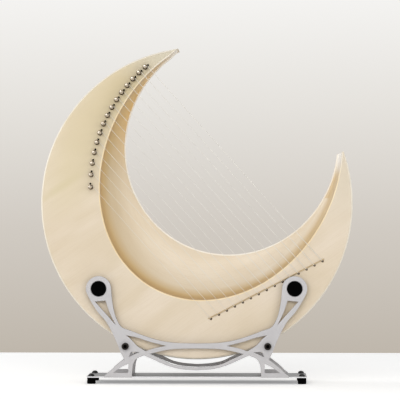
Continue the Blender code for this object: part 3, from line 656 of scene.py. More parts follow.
def flow_coordinates(tree):
    """Along and across a bent piece, laid out as X and Z so that the grain follows it."""
    parts = node(tree, "SeparateXYZ", {"Vector": node(tree, "UVMap", uv_map="flow").outputs["UV"]})
    made = node(tree, "CombineXYZ", {"X": parts.outputs["X"], "Z": parts.outputs["Y"]})
    return made.outputs["Vector"]


GRAIN = math.radians(34)

# Sizes of the wood's features along the grain, in depth and across it
CLOUD = (0.120, 0.06, 0.045)
FLAME = (0.060, 0.02, 0.0085)
LINES = (0.045, 0.003, 0.0009)
PORES = (0.0030, 0.0004, 0.00028)

# The wall's painted shade (tan and amber on the left horn, honey and brown behind the lip) and
# painted light near the tips, as ranges of place along or across it and of strength
WALL_PAINT_START = (-0.070, -0.015, 0.0, 1.0)
AMBER_SHADE_END = (0.035, 0.130, 0.72, 0.0)
TAN_SHADE_END = (0.12, 0.44, 1.0, 0.0)
TAN_SHADE_DEPTH = (0.020, 0.065, 1.0, 0.50)
HONEY_SHADE_WIDENS = (0.45, 0.66, 0.0, 0.026)
HONEY_SHADE_END = (1.030, 1.055, 1.0, 0.0)
HONEY_SHADE_DEPTH = (0.018, 0.036, 0.90, 0.0)
PAINTED_TIP_LIGHT_FROM = (1.036, 1.062, 0.0, 1.0)
BROWN_SHADE_FADES = (0.45, 0.66, 1.0, 0.30)
BROWN_SHADE_DEPTH = (0.004, 0.022, 0.66, 0.0)

# A mineral streak and three tan clouds on the left horn, partly the wood's tone and partly painted
# shade, and a greyer tone near each tip:
# place, sizes, turn in degrees, strength and colour
FACE_PATCHES = (
    ((-0.1880, FACE, 0.2770), (0.050, 0.08, 0.0080), 34, 0.50, (206, 192, 144)),
    ((-0.1660, FACE, 0.3120), (0.100, 0.08, 0.0500), 60, 0.55, (212, 196, 154)),
    ((-0.1050, FACE, 0.4100), (0.125, 0.10, 0.0560), 46, 0.90, (208, 190, 146)),
    ((-0.0400, FACE, 0.4600), (0.085, 0.10, 0.0360), 10, 1.00, (208, 198, 174)),
    ((-0.1500, FACE, 0.3600), (0.170, 0.10, 0.0900), 62, 0.50, (222, 206, 170)),
    ((0.2050, FACE, 0.2950), (0.060, 0.10, 0.0900), 0, 0.85, (220, 207, 184)),
)

# The front lip's painted highlight is cream at the tips of the horns: place and reach of each tone
LIP_TIPS = (((-0.020, FACE, 0.462), 0.075), ((0.207, FACE, 0.333), 0.050))


def make_wood(name, light, dark, line, roughness=0.45, bent=False, tint=None):
    """Pale close-grained wood: cloudy figure, fine lines and short pores under satin lacquer."""
    made, tree, shader = start_material(
        name, light, roughness, Coat_Weight=0.25, Coat_Roughness=0.28,
    )
    source = flow_coordinates(tree) if bent else object_coordinates(tree)
    turn = 0.0 if bent else GRAIN
    cloud = noise(tree, source, CLOUD, turn, detail=2.0, distortion=0.4)
    flame = noise(tree, source, FLAME, turn, detail=3.0, distortion=0.8)
    lines = noise(tree, source, LINES, turn, detail=3.0)
    pores = noise(tree, source, PORES, turn, detail=1.0)
    color = mixed(tree, ranged(tree, cloud, 0.36, 0.66), light, dark)
    color = mixed(tree, ranged(tree, flame, 0.48, 0.72, 0.0, 0.26), color, dark)
    color = mixed(tree, ranged(tree, lines, 0.50, 0.75, 0.0, 0.17), color, line)
    color = mixed(tree, ranged(tree, pores, 0.62, 0.74, 0.0, 0.26), color, line)
    satin = ranged(tree, flame, 0.3, 0.7, roughness - 0.04, roughness + 0.06)
    tree.links.new(satin, shader.inputs["Roughness"])
    bumped(tree, shader, ranged(tree, pores, 0.55, 0.75, 1.0, 0.0), 0.10, 0.0002)
    if tint:
        color = tint(tree, source, color)
    tree.links.new(color, shader.inputs["Base Color"])
    return made


def tint_face(tree, source, color):
    # The left horn's tan clouds are partly the wood's tone and partly painted shade
    for place, sizes, degrees, most, patch_tone in FACE_PATCHES:
        soft = patch(tree, source, place, sizes, math.radians(degrees))
        color = mixed(tree, ranged(tree, soft, 0.0, 0.8, 0.0, most), color, patch_tone)
    return color


def paint_wall_shade_and_light(tree, source, color):
    """The bent inner wall: painted shade, tan on the left horn and honey-brown behind the lip, and
    painted light near both tips.
    """
    parts = node(tree, "SeparateXYZ", {"Vector": source})
    along, across = parts.outputs["X"], parts.outputs["Z"]
    below_tip = ranged(tree, along, *WALL_PAINT_START)
    # Painted light: a near-white wall at the left tip, where the cove is in shade
    color = mixed(tree, below_tip, (252, 246, 236), color)
    # Painted shade: tan and amber on the left horn's wall
    tan = product(tree, below_tip, ranged(tree, along, *TAN_SHADE_END), ranged(tree, across, *TAN_SHADE_DEPTH))
    color = mixed(tree, tan, color, (199, 173, 124))
    amber = product(tree, below_tip, ranged(tree, along, *AMBER_SHADE_END))
    color = mixed(tree, amber, color, (224, 180, 100))
    # Painted shade: honey and brown just behind the front lip
    wider = ranged(tree, along, *HONEY_SHADE_WIDENS)
    from_lip = node(tree, "Math", {0: across, 1: wider}, operation="SUBTRACT").outputs[0]
    between_tips = product(tree, below_tip, ranged(tree, along, *HONEY_SHADE_END))
    honey = product(tree, between_tips, ranged(tree, from_lip, *HONEY_SHADE_DEPTH))
    color = mixed(tree, honey, color, (210, 178, 120))
    fading = ranged(tree, along, *BROWN_SHADE_FADES)
    brown = product(tree, between_tips, fading, ranged(tree, across, *BROWN_SHADE_DEPTH))
    color = mixed(tree, brown, color, (180, 134, 76))
    # Painted light: a near-white wall at the right tip
    return mixed(tree, ranged(tree, along, *PAINTED_TIP_LIGHT_FROM), color, (255, 250, 242))


def tint_lip(tree, source, color):
    """The eased edge round the front opening, a painted highlight, is cream at the two tips."""
    for place, reach in LIP_TIPS:
        soft = patch(tree, source, place, (reach, reach, reach), 0.0)
        color = mixed(tree, ranged(tree, soft, 0.0, 0.5), color, (242, 232, 214))
    return color


def make_metal(name, color, roughness, metallic=1.0, mark=0.0005, spread=0.06):
    """Metal with fine marks all over and a little wear."""
    made, tree, shader = start_material(name, color, roughness, metallic)
    source = object_coordinates(tree)
    marks = noise(tree, source, (mark, mark, mark))
    wear = noise(tree, source, (0.03, 0.03, 0.02), detail=3.0)
    tone = mixed(tree, ranged(tree, wear, 0.35, 0.70, 0.0, 0.35), color, [c * 0.93 for c in color])
    tree.links.new(tone, shader.inputs["Base Color"])
    sheen = ranged(tree, marks, 0.3, 0.7, roughness - spread, roughness + spread)
    tree.links.new(sheen, shader.inputs["Roughness"])
    bumped(tree, shader, marks, 0.12, 0.00002)
    return made


def make_rubber(name, color, roughness):
    made, tree, shader = start_material(name, color, roughness, Specular_IOR_Level=0.03)
    source = object_coordinates(tree)
    marks = noise(tree, source, (0.0004, 0.0004, 0.0004), detail=3.0)
    dust = noise(tree, source, (0.006, 0.006, 0.006), detail=4.0)
    tone = mixed(tree, ranged(tree, dust, 0.5, 0.8, 0.0, 0.5), color, [c + 5 for c in color])
    tree.links.new(tone, shader.inputs["Base Color"])
    bumped(tree, shader, marks, 0.20, 0.00004)
    return made


# The harp's wooden pieces


def plate_edges(edge, angle):
    """At one angle: reach of a plate's inner edge, and how far both edges are rounded."""
    inner = edge_reach(edge, angle)
    width = RADIUS - inner
    ease = min(INNER_ROUNDING, width * 0.25)
    return inner, ease, min(OUTER_ROUNDING, width - ease * 1.5)


def plate_section(edge, angle, face, inward):
    """A plate's section at one angle: rounded outer edge, eased inner edge, square inside."""
    inner, ease, rounding = plate_edges(edge, angle)
    profile = [(inner, PLATE)]
    for a in quarter(4):
        profile.append((inner + ease * (1 - math.cos(a)), ease * (1 - math.sin(a))))
    profile.append((inner + ease * LIP_BAND, 0))
    for a in quarter(ROUND_STEPS):
        profile.append((RADIUS - rounding * (1 - math.sin(a)), rounding * (1 - math.cos(a))))
    profile += [(RADIUS, PLATE), (inner + min(BACK_LIP_BAND, (RADIUS - inner) * 0.5), PLATE)]
    return section_at(angle, [(reach, face + inward * depth) for reach, depth in profile])


def plate_finish(plate, edge, outside):
    """Gives a plate's rounded rim and the eased edge round its opening materials of their own:
    paler woods as painted highlights.
    """
    for face in plate.data.polygons:
        flat = Vector((face.center.x, face.center.z)) - CENTRE
        angle = math.atan2(flat.y, flat.x) % (2 * math.pi)
        angle += 2 * math.pi if angle < LEFT_TIP else 0
        inner, ease, rounding = plate_edges(edge, min(angle, RIGHT_TIP))
        if abs(face.center.y - outside) > PLATE - SEAM:
            face.material_index = 2 if flat.length < inner + BACK_LIP_BAND else 0
        elif flat.length > RADIUS - rounding * RIM_BAND:
            face.material_index = 1
        elif flat.length < inner + ease * LIP_BAND:
            face.material_index = 2


def make_plate(name, edge, face, inward, materials, cutter):
    rows = [
        plate_section(edge, angle, face, inward)
        for angle in body_angles(LEFT_TIP, RIGHT_TIP, BODY_STEPS)
    ]
    plate = add_closed(name, skin(rows), *materials)
    plate_finish(plate, edge, face)
    boolean(plate, "DIFFERENCE", cutter)
    dress(smooth(plate, 40, weighted=True), "harp", "face_wood", name.removesuffix("_board"))


def make_plates(face, cream, honey, pale):
    spots = [(pin, PIN_BORE) for pin in PINS]
    spots += [(string_hole(i), HOLE_RADIUS) for i in range(len(PINS))]
    spots += [(stud_place(i), STUD_RADIUS + SEAM) for i in range(len(PINS))]
    outside, inside = PLATE_DRILL
    cutter = cylinders(spots, FACE - outside, FACE + inside)
    make_plate("front_plate_board", FRONT_EDGE, FACE, 1, (face, cream, honey), cutter)
    spots = [(CENTRE + place, SOUND_HOLE_RADIUS) for place in SOUND_HOLES]
    cutter = cylinders(spots, BACK - inside, BACK + outside, sides=96)
    make_plate("back_plate_board", BACK_EDGE, BACK, -1, (face, cream, pale), cutter)


def cove_line(angle):
    """The visible inner surface at one angle: (reach, depth) from the front lip to the back."""
    start = edge_reach(FRONT_EDGE, angle)
    end = edge_reach(BACK_EDGE, angle) + BACK_LIP * nose(angle)
    front, back = INSIDE_FRONT + SEAM, INSIDE_BACK - WALL
    return [
        (end + (start - end) * math.cos(slope), front + (back - front) * math.sin(slope))
        for slope in quarter(COVE_STEPS)
    ]


def wall_section(angle):
    """The bent wall: its cove, its back edge, and the hidden side at an even thickness."""
    line = cove_line(angle)
    wide = abs(line[0][0] - line[-1][0])
    deep = line[-1][1] - line[0][1]
    hidden = []
    for slope, (reach, depth) in zip(quarter(COVE_STEPS), line):
        out = Vector((deep * math.cos(slope) + 0.0001, wide * math.sin(slope) + 0.00001))
        out.normalize()
        hidden.append((reach + WALL * out.x, min(depth + WALL * out.y, INSIDE_BACK - SEAM)))
    section = [*line, (line[-1][0], INSIDE_BACK - SEAM), *reversed(hidden)]
    return section_at(angle, section)


def make_bent_pieces(wall_wood, rim_wood):
    """The inner wall and the outer rim, both from one tip block to the other."""
    start, end = LEFT_BLOCK_END + SEAM / RADIUS, RIGHT_BLOCK_END - SEAM / RADIUS
    angles = body_angles(start, end, BODY_STEPS)
    wall = add_closed("inner_wall_bent", skin([wall_section(angle) for angle in angles]), wall_wood)
    dress(smooth(wall), "harp", "wall_wood", "inner_wall")
    front, back = INSIDE_FRONT + SEAM, INSIDE_BACK - SEAM
    profile = ((RADIUS, front), (RADIUS, back), (RADIUS - RIM, back), (RADIUS - RIM, front))
    rim = add_closed("outer_rim_strip", skin([section_at(a, profile) for a in angles]), rim_wood)
    dress(smooth(rim), "harp", "face_wood", "outer_rim")


def make_tip(name, start, end, along, wall, rim):
    """A solid horn tip, whose inner side carries on the cove and whose outer side the rim."""
    rows = []
    back = INSIDE_BACK - SEAM
    for angle in body_angles(start, end, TIP_STEPS):
        line = cove_line(angle)
        section = [*line, (line[-1][0], back), (RADIUS, back), (RADIUS, line[0][1])]
        rows.append(section_at(angle, section))
    tip = add_closed(f"{name}_wood", skin(rows, start=along), wall, rim)
    for face in tip.data.polygons:
        middle = Vector((face.center.x, face.center.z)) - CENTRE
        face.material_index = int(middle.length > RADIUS - TIP_WIDTH / 4)
    return tip


def reach_to_pin_arc(angle, beyond):
    """Distance from the body's centre to a circle this far outside the arc of the pins."""
    offset = PIN_ARC_CENTRE - CENTRE
    half = offset.dot(towards(angle))
    return half + math.sqrt(half ** 2 - offset.length_squared + (PIN_ARC_RADIUS + beyond) ** 2)


def pin_drills(numbers, depth):
    spots = [(PINS[i], PIN_BORE) for i in numbers]
    spots += [(stud_place(i), STUD_RADIUS + SEAM) for i in numbers]
    return cylinders(spots, INSIDE_FRONT - 0.003, INSIDE_FRONT + depth)


def make_pin_block(material):
    first = PINS[0] - CENTRE
    low = math.atan2(first.y, first.x) + PIN_BLOCK_END
    front, back = INSIDE_FRONT + TOUCH, INSIDE_FRONT + TOUCH + PIN_BLOCK_DEPTH
    rows = []
    for angle in np.linspace(low, LEFT_BLOCK_END + TOUCH / RADIUS, PIN_BLOCK_STEPS + 1):
        inner = reach_to_pin_arc(angle, -PIN_BLOCK_INSIDE)
        outer = min(reach_to_pin_arc(angle, PIN_BLOCK_OUTSIDE), RADIUS - RIM - TOUCH)
        profile = ((inner, front), (inner, back), (outer, back), (outer, front))
        rows.append(section_at(angle, profile))
    block = add_closed("pin_block_wood", skin(rows), material)
    boolean(block, "DIFFERENCE", pin_drills(range(PINS_IN_BLOCK), PIN_BLOCK_DEPTH + 0.006))
    dress(smooth(block), "harp", "block_wood", "pin_block")


# Pins, studs, strings and saddle


def dome(radius, top, rise):
    """Profile points of a low dome, from the axis to its rim."""
    return [
        (radius * math.sin(a), top - rise * (1 - math.cos(a))) for a in quarter(ROUND_STEPS)
    ]


def one_at_each(name, mesh, place, slot):
    """Puts a copy on the face for each pin, at the place that its index gives."""
    for index in range(len(PINS)):
        made = add_object(f"{name}_{index + 1:02d}", mesh)
        settle(made, on_face(place(index)), "harp", slot)


def make_pin_mesh(chrome, collar):
    """A tuning pin: round shank with a cross hole, square tapered head, and a collar in a dark
    material as painted shade.
    """
    shank = [
        (0, PIN_ROUND_TOP), (PIN_RADIUS - 0.0004, PIN_ROUND_TOP),
        (PIN_RADIUS, PIN_ROUND_TOP - 0.0006), (PIN_RADIUS, PIN_BOTTOM + 0.0008),
        (PIN_RADIUS - 0.0008, PIN_BOTTOM), (0, PIN_BOTTOM),
    ]
    pin = add_object("pin", turned_mesh("pin", shank, 48, chrome))
    work = bmesh.new()
    low = PIN_ROUND_TOP - HEAD_IN_SHANK
    middle = Matrix.Translation((0, 0, (PIN_TOP + low) / 2))
    add_cone(work, PIN_RADIUS * 0.99, PIN_RADIUS * 0.84, PIN_TOP - low, middle, 4)
    bmesh.ops.bevel(
        work, geom=list(work.edges), offset=HEAD_BEVEL, segments=3, affect="EDGES", profile=0.5
    )
    boolean(pin, "UNION", add_closed("head", work))
    work = bmesh.new()
    across = Matrix.Translation((0, 0, PIN_HOLE_HEIGHT)) @ Matrix.Rotation(math.pi / 2, 4, "Y")
    add_cone(work, PIN_HOLE_RADIUS, PIN_HOLE_RADIUS, 4 * PIN_RADIUS, across, 20)
    boolean(pin, "DIFFERENCE", add_closed("hole", work))
    ring = [(PIN_RADIUS - 0.0002, COLLAR_LOW), (PIN_RADIUS - 0.0002, COLLAR_HIGH)]
    ring += [
        (PIN_RADIUS + 0.0003 + (COLLAR_RADIUS - PIN_RADIUS - 0.0003) * math.sin(a),
         COLLAR_LOW + (COLLAR_HIGH - COLLAR_LOW) * math.cos(a))
        for a in quarter(7)
    ]
    boolean(pin, "UNION", add_object("collar", turned_mesh("collar", ring[::-1], 48, collar)))
    set_materials(pin.data, chrome, collar)
    # Painted shade: the collar's outside gets the dark material, for the dark ring round each pin
    for face in pin.data.polygons:
        out = math.hypot(face.center.x, face.center.y)
        on_collar = COLLAR_LOW - 0.0001 < face.center.z < COLLAR_HIGH + 0.0001
        face.material_index = int(on_collar and out > PIN_RADIUS)
    mesh = pin.data
    bpy.data.objects.remove(pin)
    return mesh


def make_pins(chrome, collar):
    mesh = make_pin_mesh(chrome, collar)
    for index, place in enumerate(PINS):
        number = f"{index + 1:02d}"
        pin = add_object(f"pin_{number}_steel", mesh)
        matrix = on_face(place) @ Matrix.Rotation(PIN_TURN_STEP * index, 4, "Z")
        settle(pin, matrix, f"pin_{number}", "chrome", f"tuning_pin_{number}", degrees=30)


def make_studs(black):
    low = STUD_HEIGHT - STUD_HEAD_DEPTH
    profile = [*dome(STUD_HEAD, STUD_HEIGHT, STUD_DOME), (STUD_HEAD, low), (STUD_RADIUS, low)]
    profile += [(STUD_RADIUS, -STUD_DEPTH), (0, -STUD_DEPTH)]
    one_at_each("guide_stud", turned_mesh("stud", profile, 24, black), stud_place, "black_screw")


def string_path(pin, hole, radius):
    """Points (place, height) of a string: winding, straight run, bend over the rod, hole."""
    reach = PIN_RADIUS + WINDING_FROM_PIN + radius
    rise = 2 * radius + WINDING_SPACE
    to_hole = hole - pin
    leave = math.atan2(to_hole.y, to_hole.x) + math.acos(reach / to_hole.length)
    route = []
    for step in range(round(WINDING_TURNS * WINDING_POINTS), -1, -1):
        turn = step / WINDING_POINTS
        place = pin + reach * towards(leave + 2 * math.pi * turn)
        route.append((place, STRING_RISE_AT_PIN + rise * turn))
    tangent = route[-1][0]
    along = (hole - tangent).normalized()
    rod = (HOLE_LAST - HOLE_FIRST).normalized()
    crest = hole - along * (SADDLE_FROM_HOLES / abs(rod.x * along.y - rod.y * along.x))
    bend = SADDLE_RADIUS + TOUCH + radius
    for degrees in range(92, 9, -9):
        a = math.radians(degrees)
        height = TOUCH + SADDLE_RADIUS + bend * math.sin(a)
        route.append((crest + along * bend * math.cos(a), height))
    below = -PLATE - 2 * TOUCH - BRIDGE_BLOCK_DEPTH
    route += [(hole, -0.0010), (hole, below + BALL[3][1])]
    return route


def make_strings(steel, coil_shade, brass):
    """Strings, whose turns round their pins have a darker material as painted shade, and their ball
    ends.
    """
    below = -PLATE - 3 * TOUCH - BRIDGE_BLOCK_DEPTH
    ball = turned_mesh("ball_end", raised(BALL, below), 32, brass)
    for index, pin in enumerate(PINS):
        number = f"{index + 1:02d}"
        hole = string_hole(index)
        share = index / (len(PINS) - 1)
        radius = STRING_RADIUS_FIRST + (STRING_RADIUS_LAST - STRING_RADIUS_FIRST) * share
        curve = bpy.data.curves.new(f"string_{number}", "CURVE")
        curve.dimensions = "3D"
        curve.bevel_depth = radius
        curve.bevel_resolution = 3
        curve.use_fill_caps = True
        path = string_path(pin, hole, radius)
        route = [lift(flat, FACE - height) for flat, height in path]
        mesh = curve_mesh(curve, [route], closed=False)
        # Painted shade: the turns round the pin get the darker material
        for face in mesh.polygons:
            flat = Vector((face.center.x, face.center.z)) - pin
            face.material_index = int(flat.length < PIN_RADIUS + COIL_WIDTH)
        made = add_object(f"string_{number}_wire", mesh, steel, coil_shade)
        dress(smooth(made, 50), "harp", "string_steel", f"string_{number}")
        end = add_object(f"string_ball_{number}", ball)
        settle(end, on_face(hole), "harp", "saddle_metal")


def make_saddle(rod_metal, metal):
    """The rod that the strings bend over, and an eyelet in each string hole."""
    along = (HOLE_LAST - HOLE_FIRST).normalized()
    side = Vector((-along.y, along.x)) * SADDLE_FROM_HOLES
    start = HOLE_FIRST + side - along * SADDLE_OVERHANG
    end = HOLE_LAST + side + along * SADDLE_OVERHANG
    cap = dome(SADDLE_RADIUS, (end - start).length / 2, SADDLE_RADIUS * 0.7)
    profile = [*cap, *[(r, -h) for r, h in reversed(cap)]]
    rod = add_object("saddle_rod_brass", turned_mesh("saddle_rod_brass", profile, 24, rod_metal))
    middle = Matrix.Translation(lift((start + end) / 2, FACE - TOUCH - SADDLE_RADIUS))
    lean = Matrix.Rotation(math.atan2(along.x, along.y), 4, "Y")
    settle(rod, middle @ lean, "harp", "saddle_metal", "saddle_rod")
    eyelet = turned_mesh("eyelet", EYELET, 28, metal)
    one_at_each("string_eyelet", eyelet, string_hole, "saddle_metal")


# The stand


def cut_plate(name, loops, thickness, ease, *materials):
    """A flat metal piece from outlines in local XY, its edges eased all round."""
    curve = bpy.data.curves.new(name, "CURVE")
    curve.dimensions = "2D"
    curve.fill_mode = "BOTH"
    curve.extrude = thickness / 2 - ease
    curve.bevel_depth = ease
    curve.bevel_resolution = 2
    curve.offset = -ease
    lines = [[(point[0], point[1], 0.0) for point in loop] for loop in loops]
    work = bmesh.new()
    work.from_mesh(curve_mesh(curve, lines, closed=True))
    return add_closed(name, work, *materials)


def mark_cut_edges(obj, axis):
    """Gives the faces that run through a plate's thickness its second material."""
    for face in obj.data.polygons:
        face.material_index = int(abs(face.normal[axis]) < 0.35)


def frame_loops():
    """Outline and windows of one frame, the left half mirrored to make the right."""
    ring = arc(Vector((-RING_CENTRE.x, RING_CENTRE.y)), RING_RADIUS, 0, RING_SWEEP, 48)
    left = [
        smooth_line(FRAME_TOP), ring, smooth_line(FRAME_OUTSIDE), smooth_line(FRAME_FOOT[:3]),
        FRAME_FOOT[3:], smooth_line(FRAME_LEG), smooth_line(FRAME_CRADLE),
    ]
    right = [mirrored(stretch) for stretch in reversed(left)]
    loops = [closed_loop([*left, *right])]
    for window in WINDOWS:
        edges = zip(window, [*window[1:], window[0]])
        loop = closed_loop([smooth_line([*edge, after[0]]) for edge, after in edges])
        loops += [loop, mirrored(loop)]
    lens = [smooth_line(LENS_TOP), smooth_line(LENS_BOTTOM)]
    loops.append(closed_loop([lens[0], mirrored(lens[0]), mirrored(lens[1]), lens[1]]))
    for side in (-1, 1):
        centre = Vector((side * RING_CENTRE.x, RING_CENTRE.y))
        loops.append(arc(centre, RING_BORE, 0, 2 * math.pi, 72)[:-1])
        centre = Vector((side * BOLT_PLACE.x, BOLT_PLACE.y))
        loops.append(arc(centre, BOLT_HOLE, 0, 2 * math.pi, 36)[:-1])
    return loops


def make_frame(name, node_name, span, outward, metal, cut):
    """A frame cut from plate, with a sunk edge round each ring's bore on its outer face."""
    made = cut_plate(name, frame_loops(), span[1] - span[0], EDGE_EASE, metal)
    made.data.transform(facing((0, (span[0] + span[1]) / 2, 0)))
    work = bmesh.new()
    outer = span[0] if outward < 0 else span[1]
    turn = Matrix.Rotation(math.pi / 2 * -outward, 4, "X")
    narrow, wide = RING_BORE - RING_CHAMFER, RING_BORE + RING_CHAMFER * 3
    for side in (-1, 1):
        spot = Matrix.Translation((side * RING_CENTRE.x, outer, RING_CENTRE.y))
        add_cone(work, narrow, wide, RING_CHAMFER * 4, spot @ turn, 72)
    boolean(made, "DIFFERENCE", add_object("sinks", to_mesh("sinks", work)))
    # Painted shade: the faces through the plate's thickness get the dark edge material
    set_materials(made.data, metal, cut)
    mark_cut_edges(made, 1)
    dress(smooth(made, 28, weighted=True), "stand", "anodised_aluminium", node_name)


def make_base(metal, cut):
    """The thin base plate: rounded corners, a notch for each foot rail, a hole for each screw."""
    middle, half = (BASE_LOW + BASE_HIGH) / 2, (BASE_HIGH - BASE_LOW) / 2
    notch = (-FRAME_FOOT[-1][0] - TOUCH, -FRAME_FOOT[3][0] + TOUCH)
    deep = half.y - (FRONT_FRAME[1] - FRONT_FRAME[0] + TOUCH)
    right = [Vector((notch[0], half.y)), Vector((notch[0], deep))]
    right += [Vector((notch[1], deep)), Vector((notch[1], half.y))]
    corner = Vector((half.x - BASE_CORNER, half.y - BASE_CORNER))
    right += arc(corner, BASE_CORNER, math.pi / 2, 0, 6)
    right += [Vector((p.x, -p.y)) for p in reversed(right)]
    loops = [right + mirrored(right)]
    for x in (-FOOT_X, FOOT_X):
        for y in (-FOOT_Y, FOOT_Y):
            loops.append(arc(Vector((x, y)), FOOT_HOLE, 0, 2 * math.pi, 28)[:-1])
    plate = cut_plate("base_plate_sheet", loops, 2 * half.z, BASE_EASE, metal, cut)
    plate.matrix_world = Matrix.Translation((0, middle.y, middle.z))
    # Painted light: the edge faces get the bright highlight material, the top and bottom the darker
    # shade material
    mark_cut_edges(plate, 2)
    dress(smooth(plate, 28, weighted=True), "stand", "anodised_aluminium", "base_plate")


def hexagon(radius, low, high, taper=1.0):
    """A six-sided cutter along local Z, narrower at its low end where it tapers."""
    work = bmesh.new()
    middle = Matrix.Translation((0, 0, (low + high) / 2))
    add_cone(work, radius * taper, radius, high - low, middle, 6)
    return add_closed("hexagon", work)


def make_bolts(steel, dark, metal):
    """Socket-head bolts through both frames, their nuts, and the tubes between the frames."""
    low = -FRONT_FRAME[0] + TOUCH
    high = low + BOLT_HEAD[0][1]
    profile = [
        *raised(BOLT_HEAD, low), (BOLT_RADIUS, low), (BOLT_RADIUS, 0.0006 - BOLT_END),
        (BOLT_RADIUS - 0.0006, -BOLT_END), (0, -BOLT_END),
    ]
    nut_top = -REAR_FRAME[1] - TOUCH
    nut = raised(NUT, nut_top)
    front, back = -FRONT_FRAME[1] - TOUCH, -REAR_FRAME[0] + TOUCH
    tube = [(r, front - h) for r, h in SPACER_END] + raised(reversed(SPACER_END), back)
    for side, name in SIDES:
        place = facing((side * BOLT_PLACE.x, 0, BOLT_PLACE.y))
        bolt = add_object(f"cross_bolt_{name}_steel", turned_mesh("bolt", profile, 60, steel))
        socket = hexagon(SOCKET_RADIUS, high - SOCKET_DEPTH, high + 0.0005, SOCKET_TAPER)
        boolean(bolt, "DIFFERENCE", socket)
        # Painted shade: the faces deep in the socket get the black rubber material
        bolt.data.materials.append(dark)
        for face in bolt.data.polygons:
            deep = high - SOCKET_DEPTH - 0.0001 < face.center.z < high - 0.0002
            inside = math.hypot(face.center.x, face.center.y) < SOCKET_RADIUS
            face.material_index = int(deep and inside)
        settle(bolt, place, "stand", "bolt_steel", f"cross_bolt_{name}", degrees=30)
        shape = add_object(f"nut_{name}", turned_mesh("nut", nut, 60, steel))
        boolean(shape, "INTERSECT", hexagon(NUT_FLATS, nut_top - 0.006, nut_top + 0.001))
        settle(shape, place, "stand", "bolt_steel", degrees=30)
        spacer = add_object(f"spacer_{name}_tube", turned_mesh("spacer", tube, 48, metal))
        settle(spacer, place, "stand", "anodised_aluminium", f"spacer_tube_{name}", degrees=30)


def make_pads(rubber):
    """Rubber pads: a domed button in the ring, and a flange behind it against the harp."""
    reach = -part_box("pad_front_left")[0].y
    back = -FRONT_FRAME[1] - TOUCH
    face = -FACE + TOUCH
    inset, rise = PAD_DOME
    profile = [
        *dome(PAD_STEM - inset, reach, rise), (PAD_STEM - 0.0002, reach - 0.0004),
        (PAD_STEM, reach - 0.0008), (PAD_STEM, back), (PAD_FLANGE - PAD_ROUNDING, back),
        (PAD_FLANGE, back - PAD_ROUNDING), (PAD_FLANGE, face + PAD_ROUNDING),
        (PAD_FLANGE - PAD_ROUNDING, face), (0, face),
    ]
    mesh = turned_mesh("pad", profile, 72, rubber)
    for side, name in SIDES:
        for end, depth in (("front", 0), ("rear", 2 * MIDDLE_Y)):
            place = facing((side * RING_CENTRE.x, depth, RING_CENTRE.y), end == "rear")
            pad = add_object(f"pad_{end}_{name}_rubber", mesh)
            settle(pad, place, "stand", "rubber", f"pad_{end}_{name}")


def make_feet(rubber, black):
    """Rubber feet with a groove, each held by a domed socket screw through the base plate."""
    top = BASE_LOW.z - TOUCH
    foot = [(FOOT_HOLE, top), (FOOT_RADIUS - FOOT_EDGE, top), (FOOT_RADIUS, top - FOOT_EDGE)]
    foot += [(FOOT_RADIUS - inset, height) for height, inset in FOOT_SIDE]
    foot += [(FOOT_HOLE + 0.0009, 0), (FOOT_HOLE, 0.0008)]
    foot_mesh = turned_mesh("foot", foot, 56, rubber)
    seat = BASE_HIGH.z + TOUCH
    radius, height = SCREW_HEAD
    screw = [(radius * math.sin(a), seat + height * math.cos(a)) for a in quarter(11)]
    screw += [(SCREW_SHANK[0][0], seat), *SCREW_SHANK]
    pattern = add_object("screw", turned_mesh("screw", screw, 48, black))
    radius, low, high = RECESS
    boolean(pattern, "DIFFERENCE", hexagon(radius, seat + low, seat + high, SOCKET_TAPER))
    screw_mesh = pattern.data
    bpy.data.objects.remove(pattern)
    for side, name in SIDES:
        for depth, end in ((-1, "front"), (1, "rear")):
            place = Matrix.Translation((side * FOOT_X, MIDDLE_Y + depth * FOOT_Y, 0))
            spot = f"{end}_{name}"
            made = add_object(f"foot_{spot}_rubber", foot_mesh)
            settle(made, place, "stand", "rubber", f"foot_{spot}", degrees=30)
            made = add_object(f"foot_screw_{spot}_steel", screw_mesh)
            settle(made, place, "stand", "black_screw", f"foot_screw_{spot}", degrees=30)


# Floor, background, lamps and camera


def make_floor():
    mesh = bpy.data.meshes.new("floor")
    corners = (
        (-FLOOR_REACH, -FLOOR_REACH, 0), (FLOOR_REACH, -FLOOR_REACH, 0),
        (FLOOR_REACH, FLOOR_END, 0), (-FLOOR_REACH, FLOOR_END, 0),
    )
    mesh.from_pydata(corners, [], [(0, 1, 2, 3)])
    made, tree, shader = start_material("floor_white", (250, 250, 249), 0.9, Specular_IOR_Level=0.0)
    path = node(tree, "LightPath")
    seen = node(
        tree, "Math",
        {0: path.outputs["Is Camera Ray"], 1: path.outputs["Is Glossy Ray"]}, operation="MAXIMUM",
    )
    # What is seen of the floor is lifted to white, but less so close under the stand: painted
    # contact shade from ambient occlusion
    open_sky = node(tree, "AmbientOcclusion", {"Distance": SHADE_REACH}, samples=8).outputs["AO"]
    lifted = ranged(tree, open_sky, 0.0, 1.0, SHADE_LEAST, 1.0)
    glow = product(tree, seen.outputs[0], lifted, FLOOR_GLOW)
    shader.inputs["Emission Color"].default_value = (1, 1, 1, 1)
    tree.links.new(glow, shader.inputs["Emission Strength"])
    floor = add_object("floor", mesh, made)


